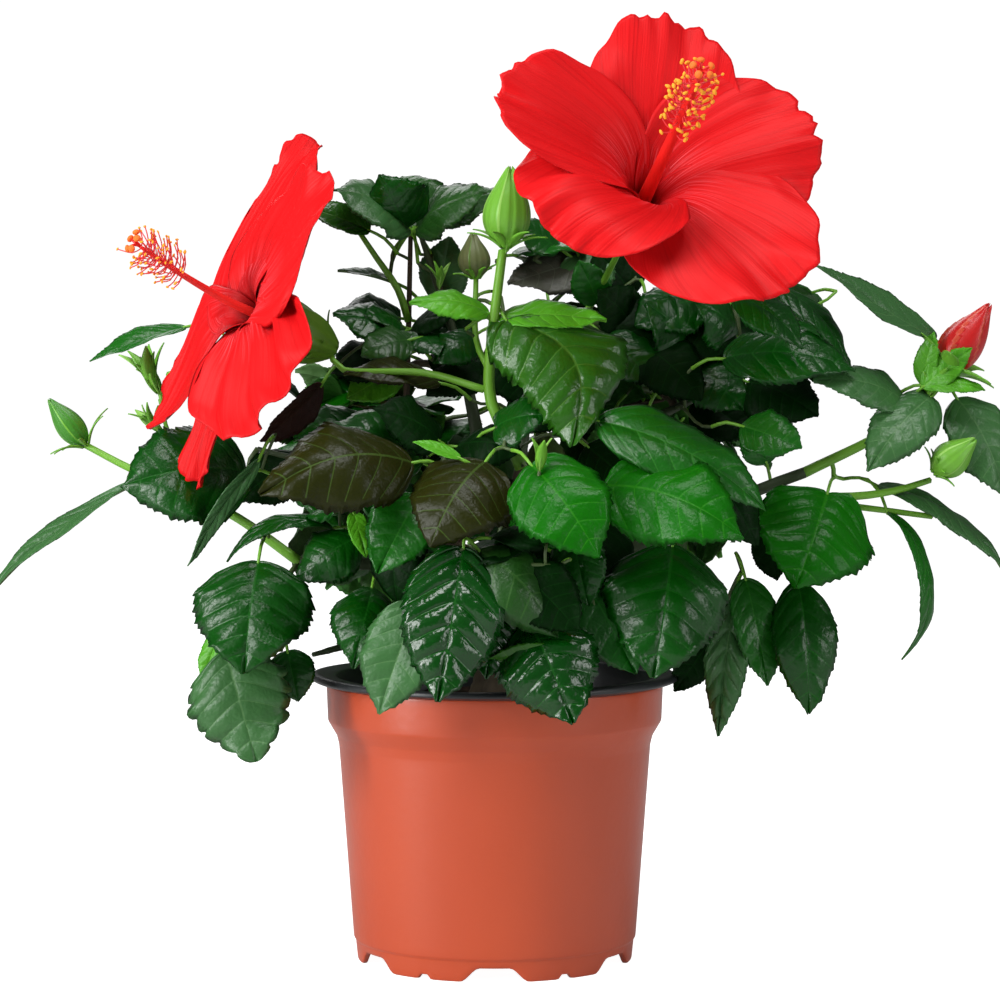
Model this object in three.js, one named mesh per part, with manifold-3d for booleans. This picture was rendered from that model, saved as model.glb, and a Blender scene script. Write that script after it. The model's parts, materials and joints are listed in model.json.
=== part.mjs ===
// A potted hibiscus shrub: a two-layer nursery pot, its soil, a short stem, boughs,
// masses of foliage and two large blooms. Millimetres, +Z up, the front towards -Y.
// The origin is on the pot's axis, at the level of the ground under its foot.

import * as THREE from 'three';
import { mergeVertices } from 'three/addons/utils/BufferGeometryUtils.js';
import Module from 'manifold-3d';

const wasm = await Module();
wasm.setup();

// ---------- driving dimensions ----------

const GAP = 0.3; // clearance between pieces that touch

// The pot: a straight taper under a collar, on a scalloped foot.
const POT_HEIGHT = 110; // ground to the top of the lip
const LIP_RADIUS = 70;
const LIP_THICKNESS = 3.4;
const COLLAR_TOP_RADIUS = 64.2;
const COLLAR_BASE_RADIUS = 63.2;
const COLLAR_HEIGHT = 17.5;
const COLLAR_STEP = 2; // height of the slope from the collar in to the body
const BODY_TOP_RADIUS = 60.2;
const BODY_BASE_RADIUS = 53.5;
const BODY_BASE_HEIGHT = 8.7;
const FOOT_RADIUS = 52;
const FOOT_HEIGHT = 7.5;
const SKIRT_WALL = 1.9; // the foot's wall, which stands on the ground
const SHELL_WALL = 1.2; // the outer, terracotta layer
const LINER_WALL = 0.9; // the inner, black layer
const FLOOR_HEIGHT = 6.6; // underside of the pot's floor
const POT_SEGMENTS = 32;

// The foot's arches, cut through its skirt, and the small notches between them.
const ARCH_COUNT = 6;
const ARCH = { base: 13, top: 5.5, height: 5.2 };
const NOTCH = { base: 2.2, top: 1.2, height: 1.8 };
const FRONT = -Math.PI / 2; // azimuth of -Y, where one arch faces

// The soil stands a little below the lip.
const SOIL_TOP = 98;
const SOIL_DIP = 3; // how far its edge lies below its middle
const SOIL_FLAT_RADIUS = 26;

// The short stem, from its flat cut on the soil to its fork.
const STEM_FLARE_RADIUS = 11;
const STEM_RADIUS = 7.5;
const STEM_TOP_RADIUS = 5.2;
const STEM_TOP = 152;
const STEM_LEAN = 6; // how far its top stands to the right of its foot

// Boughs taper from the stem to the mass that they carry.
const BOUGH_BASE_RADIUS = 3.6;
const BOUGH_TIP_RADIUS = 2.1;
const BOUGH_STEPS = 5;
const BOUGH_SIDES = 6;
const BOUGH_ENTRY = 7; // how far a bough's tip stands inside its mass

// How uneven a mass of foliage is.
const MASS_CORE = 0.74; // its smallest radius, as a share of its size
const MASS_LOBES = 11;
const MASS_LOBE_POWER = 5;
const LARGE_MASS = 52; // half height above which a mass gets finer facets

// One bough and one mass for each part of the crown. from is the height on the stem
// where the bough leaves, centre and half are the mass's middle and half its size.
const CROWN = [
  { part: 'front_low', from: 122, centre: [6, -98, 138], half: [50, 52, 50], lobes: 3 },
  { part: 'front_left', from: 132, centre: [-46, -62, 166], half: [47, 50, 50], lobes: 5 },
  { part: 'front_right', from: 138, centre: [64, -62, 172], half: [45, 50, 54], lobes: 9 },
  { part: 'left_lower', from: 118, centre: [-92, -32, 119], half: [41, 46, 44], lobes: 14 },
  { part: 'right_lower', from: 126, centre: [104, -22, 126], half: [41, 48, 43], lobes: 22 },
  { part: 'left_upper', from: 144, centre: [-112, 14, 205], half: [43, 50, 33], lobes: 31 },
  { part: 'right_upper', from: 148, centre: [108, 12, 236], half: [47, 50, 35], lobes: 37 },
  { part: 'top_middle', from: 150, centre: [20, 6, 252], half: [42, 46, 45], lobes: 41 },
  { part: 'top_left', from: 150, centre: [-30, 6, 284], half: [36, 36, 17], lobes: 43 },
  { part: 'left_outer', from: 149, centre: [-169, 2, 172], half: [34, 34, 44], lobes: 47 },
  { part: 'right_outer', from: 140, centre: [167, 4, 190], half: [36, 36, 56], lobes: 53 },
  { part: 'back_left', from: 128, centre: [-52, 82, 176], half: [48, 66, 56], lobes: 59 },
  { part: 'back_right', from: 134, centre: [58, 86, 188], half: [54, 64, 60], lobes: 61 },
  { part: 'back_low', from: 120, centre: [4, 104, 122], half: [54, 46, 38], lobes: 67 },
];

// The blooms: a funnel of five petals with a long column on its axis. throat is the
// middle of the funnel, facing its direction, radius the spread of its petals, cup how
// far the rim stands forward of the throat, turn where its first petal points and
// column how far its column reaches.
const BLOOMS = [
  {
    name: 'bloom_right',
    throat: [57, -45, 288],
    facing: [0.24, -0.8, 0.55],
    radius: 65,
    cup: 20,
    turn: 0.3,
    column: 68,
  },
  {
    name: 'bloom_left',
    throat: [-94, -40, 247],
    facing: [-0.87, -0.3, 0.4],
    radius: 64,
    cup: 2,
    turn: 0.9,
    column: 52,
  },
];
const PETALS = 5;
const PETAL_THICKNESS = 4;
const PETAL_NOTCH = 0.07; // how far the rim draws in between two petals
const PETAL_SWAY = 4; // how far the rim waves along the bloom's axis
const COLUMN_RADIUS = 4;
const BRUSH_RADIUS = 11; // of the column's head, with its anthers
const BRUSH_LENGTH = 26;
const CALYX_RADIUS = 9;
const CALYX_LENGTH = 34; // how far the calyx reaches behind the throat
const BLOOM_SEGMENTS = 20;

// ---------- geometry helpers ----------

// A closed solid from a three.js geometry, whichever way its faces point.
function solidOf(geometry) {
  const bare = new THREE.BufferGeometry();
  bare.setAttribute('position', geometry.getAttribute('position'));
  if (geometry.index) {
    bare.setIndex(geometry.index);
  }
  const merged = mergeVertices(bare, 1e-3);
  const index = [];
  const source = merged.index.array;
  for (let i = 0; i < source.length; i += 3) {
    const [a, b, c] = [source[i], source[i + 1], source[i + 2]];
    if (a !== b && b !== c && c !== a) {
      index.push(a, b, c);
    }
  }
  const position = merged.getAttribute('position').array;
  if (signedVolume(position, index) < 0) {
    index.reverse();
  }
  const mesh = new wasm.Mesh({
    numProp: 3,
    vertProperties: new Float32Array(position),
    triVerts: new Uint32Array(index),
  });
  return new wasm.Manifold(mesh);
}

function signedVolume(position, index) {
  const corner = (i) => new THREE.Vector3().fromArray(position, index[i] * 3);
  let volume = 0;
  for (let i = 0; i < index.length; i += 3) {
    volume += corner(i).dot(corner(i + 1).cross(corner(i + 2))) / 6;
  }
  return volume;
}

function meshOf(solid, name, colour, roughness) {
  const { vertProperties, triVerts } = solid.getMesh();
  const geometry = new THREE.BufferGeometry();
  geometry.setAttribute('position', new THREE.BufferAttribute(vertProperties, 3));
  geometry.setIndex(new THREE.BufferAttribute(triVerts, 1));
  geometry.computeVertexNormals();
  const material = new THREE.MeshStandardMaterial({ color: colour, roughness, metalness: 0 });
  const mesh = new THREE.Mesh(geometry, material);
  mesh.name = name;
  return mesh;
}

// A solid of revolution about Z from [radius, height] pairs.
function turned(profile, segments) {
  const points = profile.map(([radius, height]) => new THREE.Vector2(radius, height));
  const geometry = new THREE.LatheGeometry(points, segments);
  geometry.rotateX(Math.PI / 2);
  return geometry;
}

// A repeatable stream of numbers from 0 to 1.
function randomStream(seed) {
  let state = seed * 7919 + 17;
  return () => {
    state = (state * 16807) % 2147483647;
    return state / 2147483647;
  };
}

// ---------- the pot ----------

const COLLAR_TOP = POT_HEIGHT - LIP_THICKNESS - GAP;
const COLLAR_BASE = COLLAR_TOP - COLLAR_HEIGHT;
const LINER_FLOOR = FLOOR_HEIGHT + SHELL_WALL + GAP;

// The wall's outline from the floor to the collar's top, set in by a distance.
function wallProfile(inset) {
  return [
    [BODY_BASE_RADIUS - inset, BODY_BASE_HEIGHT],
    [BODY_TOP_RADIUS - inset, COLLAR_BASE - COLLAR_STEP],
    [COLLAR_BASE_RADIUS - inset, COLLAR_BASE],
    [COLLAR_TOP_RADIUS - inset, COLLAR_TOP],
  ];
}

// A block through the foot's skirt, pointing outwards along +X.
function footCutter({ base, top, height }) {
  const outline = new THREE.Shape();
  outline.moveTo(-base, -1);
  outline.lineTo(base, -1);
  outline.lineTo(base, 0);
  outline.quadraticCurveTo(base - top * 0.6, height, top, height);
  outline.lineTo(-top, height);
  outline.quadraticCurveTo(-base + top * 0.6, height, -base, 0);
  const depth = FOOT_RADIUS * 0.4;
  const block = new THREE.ExtrudeGeometry(outline, { depth, bevelEnabled: false, curveSegments: 3 });
  block.rotateX(Math.PI / 2);
  block.rotateZ(Math.PI / 2);
  block.translate(FOOT_RADIUS * 0.8, 0, 0);
  return block;
}

function potShell() {
  const skirt = FOOT_RADIUS - SKIRT_WALL;
  const inner = wallProfile(SHELL_WALL).reverse();
  inner[inner.length - 1][1] = FLOOR_HEIGHT + SHELL_WALL;
  const profile = [
    [0, FLOOR_HEIGHT],
    [skirt, FLOOR_HEIGHT],
    [skirt, 0],
    [FOOT_RADIUS, 0],
    [FOOT_RADIUS, FOOT_HEIGHT],
    ...wallProfile(0),
    ...inner,
    [0, FLOOR_HEIGHT + SHELL_WALL],
  ];
  let shell = solidOf(turned(profile, POT_SEGMENTS));
  for (let i = 0; i < ARCH_COUNT; i += 1) {
    const azimuth = FRONT + (i * 2 * Math.PI) / ARCH_COUNT;
    const arch = footCutter(ARCH).rotateZ(azimuth);
    const notch = footCutter(NOTCH).rotateZ(azimuth + Math.PI / ARCH_COUNT);
    shell = shell.subtract(solidOf(arch)).subtract(solidOf(notch));
  }
  return shell;
}

// The black inner layer, a cup whose lip turns out over the collar.
function potLiner() {
  const outer = wallProfile(SHELL_WALL + GAP);
  const inner = wallProfile(SHELL_WALL + GAP + LINER_WALL).reverse();
  outer[0][1] = LINER_FLOOR;
  inner[inner.length - 1][1] = LINER_FLOOR + LINER_WALL;
  inner[0][1] = POT_HEIGHT - LIP_THICKNESS;
  const lip = [
    [LIP_RADIUS - 1.2, POT_HEIGHT - LIP_THICKNESS],
    [LIP_RADIUS, POT_HEIGHT - LIP_THICKNESS / 2],
    [LIP_RADIUS - 1.2, POT_HEIGHT],
    [COLLAR_TOP_RADIUS - SHELL_WALL, POT_HEIGHT],
  ];
  const underLip = [COLLAR_TOP_RADIUS - SHELL_WALL - GAP, POT_HEIGHT - LIP_THICKNESS];
  const profile = [
    [0, LINER_FLOOR],
    ...outer.slice(0, -1),
    underLip,
    ...lip,
    ...inner,
    [0, LINER_FLOOR + LINER_WALL],
  ];
  return solidOf(turned(profile, POT_SEGMENTS));
}

function soilSolid() {
  const inset = SHELL_WALL + LINER_WALL + 2 * GAP;
  const wall = wallProfile(inset);
  const edge = wall[2][0] + 0.2;
  const profile = [
    [0, LINER_FLOOR + LINER_WALL + GAP],
    [wall[0][0], LINER_FLOOR + LINER_WALL + GAP],
    wall[1],
    wall[2],
    [edge, SOIL_TOP - SOIL_DIP],
    [SOIL_FLAT_RADIUS, SOIL_TOP],
    [0, SOIL_TOP],
  ];
  return solidOf(turned(profile, POT_SEGMENTS));
}

// Everything inside the pot's outline, which the foliage is kept clear of.
function potEnvelope() {
  const profile = [
    [0, -1],
    [FOOT_RADIUS, -1],
    [BODY_BASE_RADIUS + GAP, BODY_BASE_HEIGHT],
    [BODY_TOP_RADIUS + GAP, COLLAR_BASE - COLLAR_STEP],
    [COLLAR_BASE_RADIUS + GAP, COLLAR_BASE],
    [COLLAR_TOP_RADIUS + GAP, POT_HEIGHT - LIP_THICKNESS - GAP],
    [LIP_RADIUS + GAP, POT_HEIGHT - LIP_THICKNESS],
    [LIP_RADIUS + GAP, POT_HEIGHT + GAP],
    [0, POT_HEIGHT + GAP],
  ];
  return solidOf(turned(profile, POT_SEGMENTS));
}

// ---------- stem and boughs ----------

// A tapering limb along a curve; grow makes it that much larger all over.
function limbSolid(route, radii, sides, steps, grow) {
  const curve = new THREE.CatmullRomCurve3(route);
  const frames = curve.computeFrenetFrames(steps, false);
  const radiusAt = (share) => {
    const place = share * (radii.length - 1);
    const low = Math.min(Math.floor(place), radii.length - 2);
    return THREE.MathUtils.lerp(radii[low], radii[low + 1], place - low) + grow;
  };
  const profile = [new THREE.Vector2(0, 0)];
  for (let i = 0; i <= steps; i += 1) {
    profile.push(new THREE.Vector2(radiusAt(i / steps), i));
  }
  profile.push(new THREE.Vector2(0, steps));
  const geometry = new THREE.LatheGeometry(profile, sides);
  const position = geometry.getAttribute('position');
  for (let i = 0; i < position.count; i += 1) {
    const ring = Math.round(position.getY(i));
    const place = curve.getPointAt(ring / steps);
    place.addScaledVector(frames.normals[ring], position.getX(i));
    place.addScaledVector(frames.binormals[ring], position.getZ(i));
    const end = (ring === steps) - (ring === 0);
    place.addScaledVector(frames.tangents[ring], end * grow);
    position.setXYZ(i, place.x, place.y, place.z);
  }
  return solidOf(geometry);
}

// The stem's middle at a height above the ground.
function stemPoint(height) {
  const share = (height - SOIL_TOP) / (STEM_TOP - SOIL_TOP);
  return new THREE.Vector3(STEM_LEAN * share * share, 0, height);
}

function stemSolid(grow) {
  const foot = SOIL_TOP + GAP;
  const heights = [foot, foot + 6, foot + 18, STEM_TOP - 16, STEM_TOP];
  const route = heights.map(stemPoint);
  route[0].x = 0;
  route[1].x = 0;
  const radii = [STEM_FLARE_RADIUS, STEM_RADIUS, STEM_RADIUS - 0.5, STEM_RADIUS - 1, STEM_TOP_RADIUS];
  return limbSolid(route, radii, 10, 8, grow);
}

// A bough leaves the stem sideways, then bends up or down into its mass.
function boughRoute({ from, centre, half }) {
  const start = stemPoint(from);
  const middle = new THREE.Vector3(...centre);
  const away = middle.clone().sub(start);
  const size = Math.hypot(
    away.x / half[0],
    away.y / half[1],
    away.z / half[2],
  );
  const reach = 1 - MASS_CORE / size;
  const tip = start.clone().addScaledVector(away, reach + BOUGH_ENTRY / away.length());
  const bend = start.clone().lerp(tip, 0.45);
  const rise = 0.12 * start.distanceTo(tip);
  bend.z += away.z > 0 ? -rise * 0.4 : rise;
  return [start, bend, tip];
}

function boughSolid(part, grow) {
  const radii = [BOUGH_BASE_RADIUS, BOUGH_TIP_RADIUS];
  return limbSolid(boughRoute(part), radii, BOUGH_SIDES, BOUGH_STEPS, grow);
}

// ---------- masses of foliage ----------

// An uneven ball whose lobes stand out in directions of their own, fitted to its size.
function massSolid({ centre, half, lobes }, grow) {
  const random = randomStream(lobes);
  const bumps = [];
  for (let i = 0; i < MASS_LOBES; i += 1) {
    const z = 1.8 * random() - 0.9;
    const turn = 2 * Math.PI * random();
    const flat = Math.sqrt(1 - z * z);
    const axis = new THREE.Vector3(flat * Math.cos(turn), flat * Math.sin(turn), z);
    bumps.push({ axis, rise: 0.16 + 0.24 * random() });
  }
  const detail = half[2] > LARGE_MASS ? 3 : 2;
  const geometry = new THREE.IcosahedronGeometry(1, detail);
  const position = geometry.getAttribute('position');
  const direction = new THREE.Vector3();
  for (let i = 0; i < position.count; i += 1) {
    direction.fromBufferAttribute(position, i).normalize();
    let radius = MASS_CORE;
    for (const { axis, rise } of bumps) {
      const facing = Math.max(0, direction.dot(axis));
      radius = Math.max(radius, MASS_CORE + rise * facing ** MASS_LOBE_POWER);
    }
    direction.multiplyScalar(radius);
    position.setXYZ(i, direction.x, direction.y, direction.z);
  }
  fitTo(geometry, centre, half.map((size) => size + grow));
  return solidOf(geometry);
}

// Stretches a geometry to a box given by its centre and half sizes.
function fitTo(geometry, centre, half) {
  geometry.computeBoundingBox();
  const middle = geometry.boundingBox.getCenter(new THREE.Vector3());
  const size = geometry.boundingBox.getSize(new THREE.Vector3());
  geometry.translate(-middle.x, -middle.y, -middle.z);
  geometry.scale((2 * half[0]) / size.x, (2 * half[1]) / size.y, (2 * half[2]) / size.z);
  geometry.translate(...centre);
}

// ---------- blooms ----------

// A bloom's profile: calyx, back of the petals, rim, funnel, column with its anthers.
function bloomSolid({ throat, facing, radius, cup, turn, column }, grow) {
  const middle = 0.45 * radius;
  const face = PETAL_THICKNESS / 2 + grow;
  const profile = [
    [0, -CALYX_LENGTH - grow],
    [CALYX_RADIUS + grow, 4 - CALYX_LENGTH - grow],
    [CALYX_RADIUS + grow, -CALYX_LENGTH / 2],
    [middle + grow, cup / 2 - face],
    [radius + grow, cup - face],
    [radius + grow, cup + face],
    [middle - grow, cup / 2 + face],
    [COLUMN_RADIUS + grow, grow],
    [COLUMN_RADIUS + grow, column - BRUSH_LENGTH - grow],
    [BRUSH_RADIUS + grow, column - 0.7 * BRUSH_LENGTH],
    [BRUSH_RADIUS + grow, column - 0.3 * BRUSH_LENGTH + grow],
    [0, column + grow],
  ];
  const geometry = turned(profile, BLOOM_SEGMENTS);
  const position = geometry.getAttribute('position');
  for (let i = 0; i < position.count; i += 1) {
    const [x, y] = [position.getX(i), position.getY(i)];
    const spread = Math.max(0, Math.hypot(x, y) / radius - 0.25);
    const angle = PETALS * (Math.atan2(y, x) - turn);
    const shrink = 1 - PETAL_NOTCH * spread * (1 - Math.cos(angle));
    const sway = PETAL_SWAY * spread * Math.sin(angle);
    position.setXYZ(i, x * shrink, y * shrink, position.getZ(i) + sway);
  }
  const aim = new THREE.Vector3(...facing).normalize();
  const turnTo = new THREE.Quaternion().setFromUnitVectors(new THREE.Vector3(0, 0, 1), aim);
  geometry.applyQuaternion(turnTo);
  geometry.translate(...throat);
  return solidOf(geometry);
}

// ---------- the assembly ----------

const TERRACOTTA = 0xc2563a;
const BLACK_PLASTIC = 0x26272b;
const SOIL = 0x2a1c14;
const BARK = 0x4a3a2a;
const LEAF = 0x1f5a26;
const PETAL = 0xd8141c;

const shrub = new THREE.Group();
shrub.add(meshOf(potShell(), 'pot', TERRACOTTA, 0.45));
shrub.add(meshOf(potLiner(), 'pot_liner', BLACK_PLASTIC, 0.5));
shrub.add(meshOf(soilSolid(), 'soil', SOIL, 0.95));
shrub.add(meshOf(stemSolid(0), 'stem', BARK, 0.85));

// What later pieces are cut clear of, each grown by the gap.
let taken = potEnvelope().add(stemSolid(GAP));

for (const part of CROWN) {
  const bough = boughSolid(part, 0).subtract(taken);
  shrub.add(meshOf(bough, `bough_${part.part}`, BARK, 0.85));
  taken = taken.add(boughSolid(part, GAP));
}
for (const bloom of BLOOMS) {
  const whole = bloomSolid(bloom, 0).subtract(taken);
  shrub.add(meshOf(whole, bloom.name, PETAL, 0.6));
  taken = taken.add(bloomSolid(bloom, GAP));
}
for (const part of CROWN) {
  const mass = massSolid(part, 0).subtract(taken);
  shrub.add(meshOf(mass, `foliage_${part.part}`, LEAF, 0.5));
  taken = taken.add(massSolid(part, GAP));
}

export default shrub;
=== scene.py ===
"""A potted hibiscus shrub with two red blooms, finished round its frame.

Sizes and places are millimetres, and turn into metres when a mesh is made. Z is up, the front of the plant
looks towards -Y, and every place is told from the box of a node of the frame."""

import json
import math

import bpy
import numpy as np
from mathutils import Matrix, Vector

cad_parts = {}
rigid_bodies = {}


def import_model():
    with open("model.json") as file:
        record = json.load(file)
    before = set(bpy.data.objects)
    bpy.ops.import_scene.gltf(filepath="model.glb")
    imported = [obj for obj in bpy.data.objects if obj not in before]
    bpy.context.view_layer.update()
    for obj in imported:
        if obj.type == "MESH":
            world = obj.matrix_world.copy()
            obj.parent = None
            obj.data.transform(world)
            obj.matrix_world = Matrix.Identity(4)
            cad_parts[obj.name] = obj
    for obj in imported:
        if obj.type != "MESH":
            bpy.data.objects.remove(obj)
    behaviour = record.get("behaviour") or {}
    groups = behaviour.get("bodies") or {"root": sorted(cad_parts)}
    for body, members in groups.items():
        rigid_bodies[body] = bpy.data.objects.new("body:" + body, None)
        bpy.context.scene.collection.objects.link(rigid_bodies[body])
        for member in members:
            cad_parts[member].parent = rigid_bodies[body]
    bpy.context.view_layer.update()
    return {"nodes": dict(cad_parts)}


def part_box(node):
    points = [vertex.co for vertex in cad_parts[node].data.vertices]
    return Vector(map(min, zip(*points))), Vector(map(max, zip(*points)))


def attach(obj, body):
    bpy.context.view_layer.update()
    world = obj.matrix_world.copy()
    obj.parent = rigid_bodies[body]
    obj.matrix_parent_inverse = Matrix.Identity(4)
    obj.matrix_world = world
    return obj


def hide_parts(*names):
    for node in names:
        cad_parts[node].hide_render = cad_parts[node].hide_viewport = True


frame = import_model()

MM = 0.001
GOLDEN_TURN = math.radians(137.5)
UP = np.array([0.0, 0.0, 1.0])

# The camera stands in front of the plant, a little above the middle, and looks slightly down.
EYE = np.array([2.0, -1290.0, 245.0])
EYE_PITCH = math.radians(3.1)
LENS = 122.2


# ---------------------------------------------------------------- the frame's boxes, in millimetres


def corners(node):
    low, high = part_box(node)
    return np.array(low) / MM, np.array(high) / MM


def centre_of(node):
    low, high = corners(node)
    return (low + high) / 2


def half_of(node):
    low, high = corners(node)
    return (high - low) / 2


MASSES = sorted(n[len("foliage_"):] for n in frame["nodes"] if n.startswith("foliage_"))
CENTRE = {mass: centre_of("foliage_" + mass) for mass in MASSES}
HALF = {mass: half_of("foliage_" + mass) for mass in MASSES}

CROWN_RISE = UP * 3.1     # how much the crown stands above the plain solids that it replaces


def place(mass, offset):
    """A point told from the centre of its mass."""
    return CENTRE[mass] + CROWN_RISE + np.asarray(offset, float)


def unit(v):
    v = np.asarray(v, float)
    return v / max(np.linalg.norm(v), 1e-9)


def across_to(direction, face):
    """face, made square to direction."""
    direction = unit(direction)
    square = np.asarray(face, float) - np.dot(face, direction) * direction
    if np.linalg.norm(square) < 1e-3:
        square = np.cross(direction, [0.37, 0.83, 0.41])
    return unit(square)


def square_pair(axis, hint):
    """Two directions square to axis and to each other, the first as near to hint as it can be."""
    side = across_to(axis, hint)
    return side, np.cross(unit(axis), side)


def ring_turns(sides):
    return np.linspace(0, 2 * math.pi, sides, endpoint=False)


def round_axis(origin, axes, forward, radius, turn):
    """Points round the first of three axes: how far along it, how far out from it and at which turn."""
    axis, side, other = axes
    outward = np.cos(turn)[..., None] * side + np.sin(turn)[..., None] * other
    return origin + axis * forward[..., None] + radius[..., None] * outward


def smooth_step(low, high, x):
    x = np.clip((np.asarray(x, float) - low) / (high - low), 0, 1)
    return x * x * (3 - 2 * x)


def smooth_path(points, step):
    """A Catmull-Rom curve through the points, with a point about every step."""
    points = [np.asarray(p, float) for p in points]
    ends = [2 * points[0] - points[1]] + points + [2 * points[-1] - points[-2]]
    made = [points[0]]
    for a, b, c, d in zip(ends, ends[1:], ends[2:], ends[3:]):
        count = max(2, int(round(np.linalg.norm(c - b) / step)))
        for i in range(1, count + 1):
            t = i / count
            made.append(0.5 * (2 * b + (c - a) * t + (2 * a - 5 * b + 4 * c - d) * t * t
                               + (3 * b - a - 3 * c + d) * t ** 3))
    return np.array(made)


# ---------------------------------------------------------------- meshes


class Sheaf:
    """Many small shapes of one kind, gathered into one mesh."""

    def __init__(self):
        self.points, self.triangles, self.slots, self.uvs = [], [], [], []
        self.count = 0

    def add(self, points, triangles, slot=0, uvs=None):
        triangles = np.asarray(triangles)
        self.points.append(np.asarray(points, float))
        self.triangles.append(triangles + self.count)
        self.slots.append(np.broadcast_to(np.asarray(slot), (len(triangles),)))
        if uvs is not None:
            self.uvs.append(np.asarray(uvs, float))
        self.count += len(points)

    def make(self, name, materials, finish, replaced=()):
        """The piece, in metres, with only the materials that its faces use."""
        points = np.concatenate(self.points) * MM
        triangles = np.concatenate(self.triangles)
        used, slots = np.unique(np.concatenate(self.slots), return_inverse=True)
        mesh = bpy.data.meshes.new(name)
        mesh.vertices.add(len(points))
        mesh.vertices.foreach_set("co", points.ravel())
        mesh.loops.add(triangles.size)
        mesh.loops.foreach_set("vertex_index", triangles.ravel().astype(np.int32))
        mesh.polygons.add(len(triangles))
        mesh.polygons.foreach_set("loop_start", np.arange(0, triangles.size, 3, dtype=np.int32))
        for index in used:
            mesh.materials.append(materials[index])
        mesh.polygons.foreach_set("material_index", slots.astype(np.int32))
        mesh.update(calc_edges=True)
        if self.uvs:
            uvs = np.concatenate(self.uvs)[triangles.ravel()]
            mesh.uv_layers.new(name="OFBake").data.foreach_set("uv", uvs.ravel())
        mesh.shade_smooth()
        mesh.validate()
        piece = bpy.data.objects.new(name, mesh)
        bpy.context.scene.collection.objects.link(piece)
        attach(piece, "root")
        if replaced:
            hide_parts(*replaced)


def grid_triangles(index, round_columns=False, round_rows=False):
    """Two triangles for each cell of a grid of vertex numbers, without those that have a corner twice."""
    if round_columns:
        index = np.concatenate([index, index[:, :1]], axis=1)
    if round_rows:
        index = np.concatenate([index, index[:1]], axis=0)
    a, b, c, d = index[:-1, :-1], index[:-1, 1:], index[1:, 1:], index[1:, :-1]
    first = np.stack([a, b, c], -1).reshape(-1, 3)
    second = np.stack([a, c, d], -1).reshape(-1, 3)
    made = np.stack([first, second], 1).reshape(-1, 3)
    whole = (made[:, 0] != made[:, 1]) & (made[:, 1] != made[:, 2]) & (made[:, 0] != made[:, 2])
    return made[whole]


def capped_triangles(rows, sides):
    """A round grid of points, closed by two fans. The fans' middle points are numbered after the grid's."""
    index = np.arange(rows * sides).reshape(rows, sides)
    following = np.roll(index, -1, axis=1)
    first, last = np.full(sides, index.size), np.full(sides, index.size + 1)
    return np.concatenate([grid_triangles(index, round_columns=True),
                           np.stack([first, following[0], index[0]], -1),
                           np.stack([last, index[-1], following[-1]], -1)])


def sheet_triangles(rows, columns, turned=False):
    """The faces of a thin closed sheet, in parts: its upper side, its underside and its two ends. The points
    of the underside are numbered after all those of the upper side, without the side margins, which both
    share. The faces look the other way where the sheet is turned."""
    top = np.arange(rows * columns).reshape(rows, columns)
    bottom = top.copy()
    bottom[:, 1:-1] = top.size + np.arange(rows * (columns - 2)).reshape(rows, -1)
    sides = [grid_triangles(top), grid_triangles(bottom)[:, ::-1]]
    ends = [np.stack([bottom[0], top[0]]), np.stack([top[-1], bottom[-1]])]
    if turned:
        sides, ends = [side[:, ::-1] for side in sides], [end[::-1] for end in ends]
    return sides + [grid_triangles(end) for end in ends]


def sheet_points(top, bottom):
    return np.concatenate([top.reshape(-1, top.shape[-1]), bottom[:, 1:-1].reshape(-1, top.shape[-1])])


def tube(points, radii, sides):
    """A round limb along the points, closed at both ends by a low dome."""
    points = np.asarray(points, float)
    radii = np.broadcast_to(np.asarray(radii, float), (len(points),))
    tangents = np.gradient(points, axis=0)
    normal = across_to(tangents[0], [0.31, 0.52, 0.79])
    turns = ring_turns(sides)
    rings = []
    for point, tangent, radius in zip(points, tangents, radii):
        normal, side = square_pair(tangent, normal)
        rings.append(point + radius * (np.outer(np.cos(turns), normal) + np.outer(np.sin(turns), side)))
    domes = [points[0] - unit(tangents[0]) * radii[0] * 0.5,
             points[-1] + unit(tangents[-1]) * radii[-1] * 0.5]
    return np.concatenate(rings + [np.array(domes)]), capped_triangles(len(points), sides)


# ---------------------------------------------------------------- materials


def shader_of(made):
    return made.node_tree.nodes["Principled BSDF"]


def material(name, colour, roughness, specular):
    """A plain principled material, which its maker may add nodes to."""
    made = bpy.data.materials.new(name)
    made.use_nodes = True
    inputs = shader_of(made).inputs
    inputs["Base Color"].default_value = (*colour, 1)
    inputs["Roughness"].default_value = roughness
    inputs["Specular IOR Level"].default_value = specular
    return made


def feed(made, socket, value):
    """Links an input to value where that is the output of a node, and sets it to value elsewhere."""
    if isinstance(value, bpy.types.NodeSocket):
        made.node_tree.links.new(value, socket)
    else:
        socket.default_value = value


def node(made, kind, **settings):
    """A new node in a material or world: settings are its properties and what its inputs are fed."""
    new = made.node_tree.nodes.new(kind)
    for key, value in settings.items():
        if key in new.inputs.keys():
            feed(made, new.inputs[key], value)
        else:
            setattr(new, key, value)
    return new


def maths(made, operation, *values):
    new = node(made, "ShaderNodeMath", operation=operation)
    for socket, value in zip(new.inputs, values):
        feed(made, socket, value)
    return new.outputs[0]


def add_bump(made, height, distance, strength):
    bump = node(made, "ShaderNodeBump", Strength=strength, Distance=distance, Height=height)
    feed(made, shader_of(made).inputs["Normal"], bump.outputs["Normal"])


def stretched(made, vector, scale):
    return node(made, "ShaderNodeMapping", Scale=scale, Vector=vector).outputs["Vector"]


def object_places(made, stretch=(1, 1, 1)):
    return stretched(made, node(made, "ShaderNodeTexCoord").outputs["Object"], stretch)


def noise(made, scale, detail, stretch=(1, 1, 1)):
    places = object_places(made, stretch)
    return node(made, "ShaderNodeTexNoise", Scale=scale, Detail=detail, Vector=places).outputs["Fac"]


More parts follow.
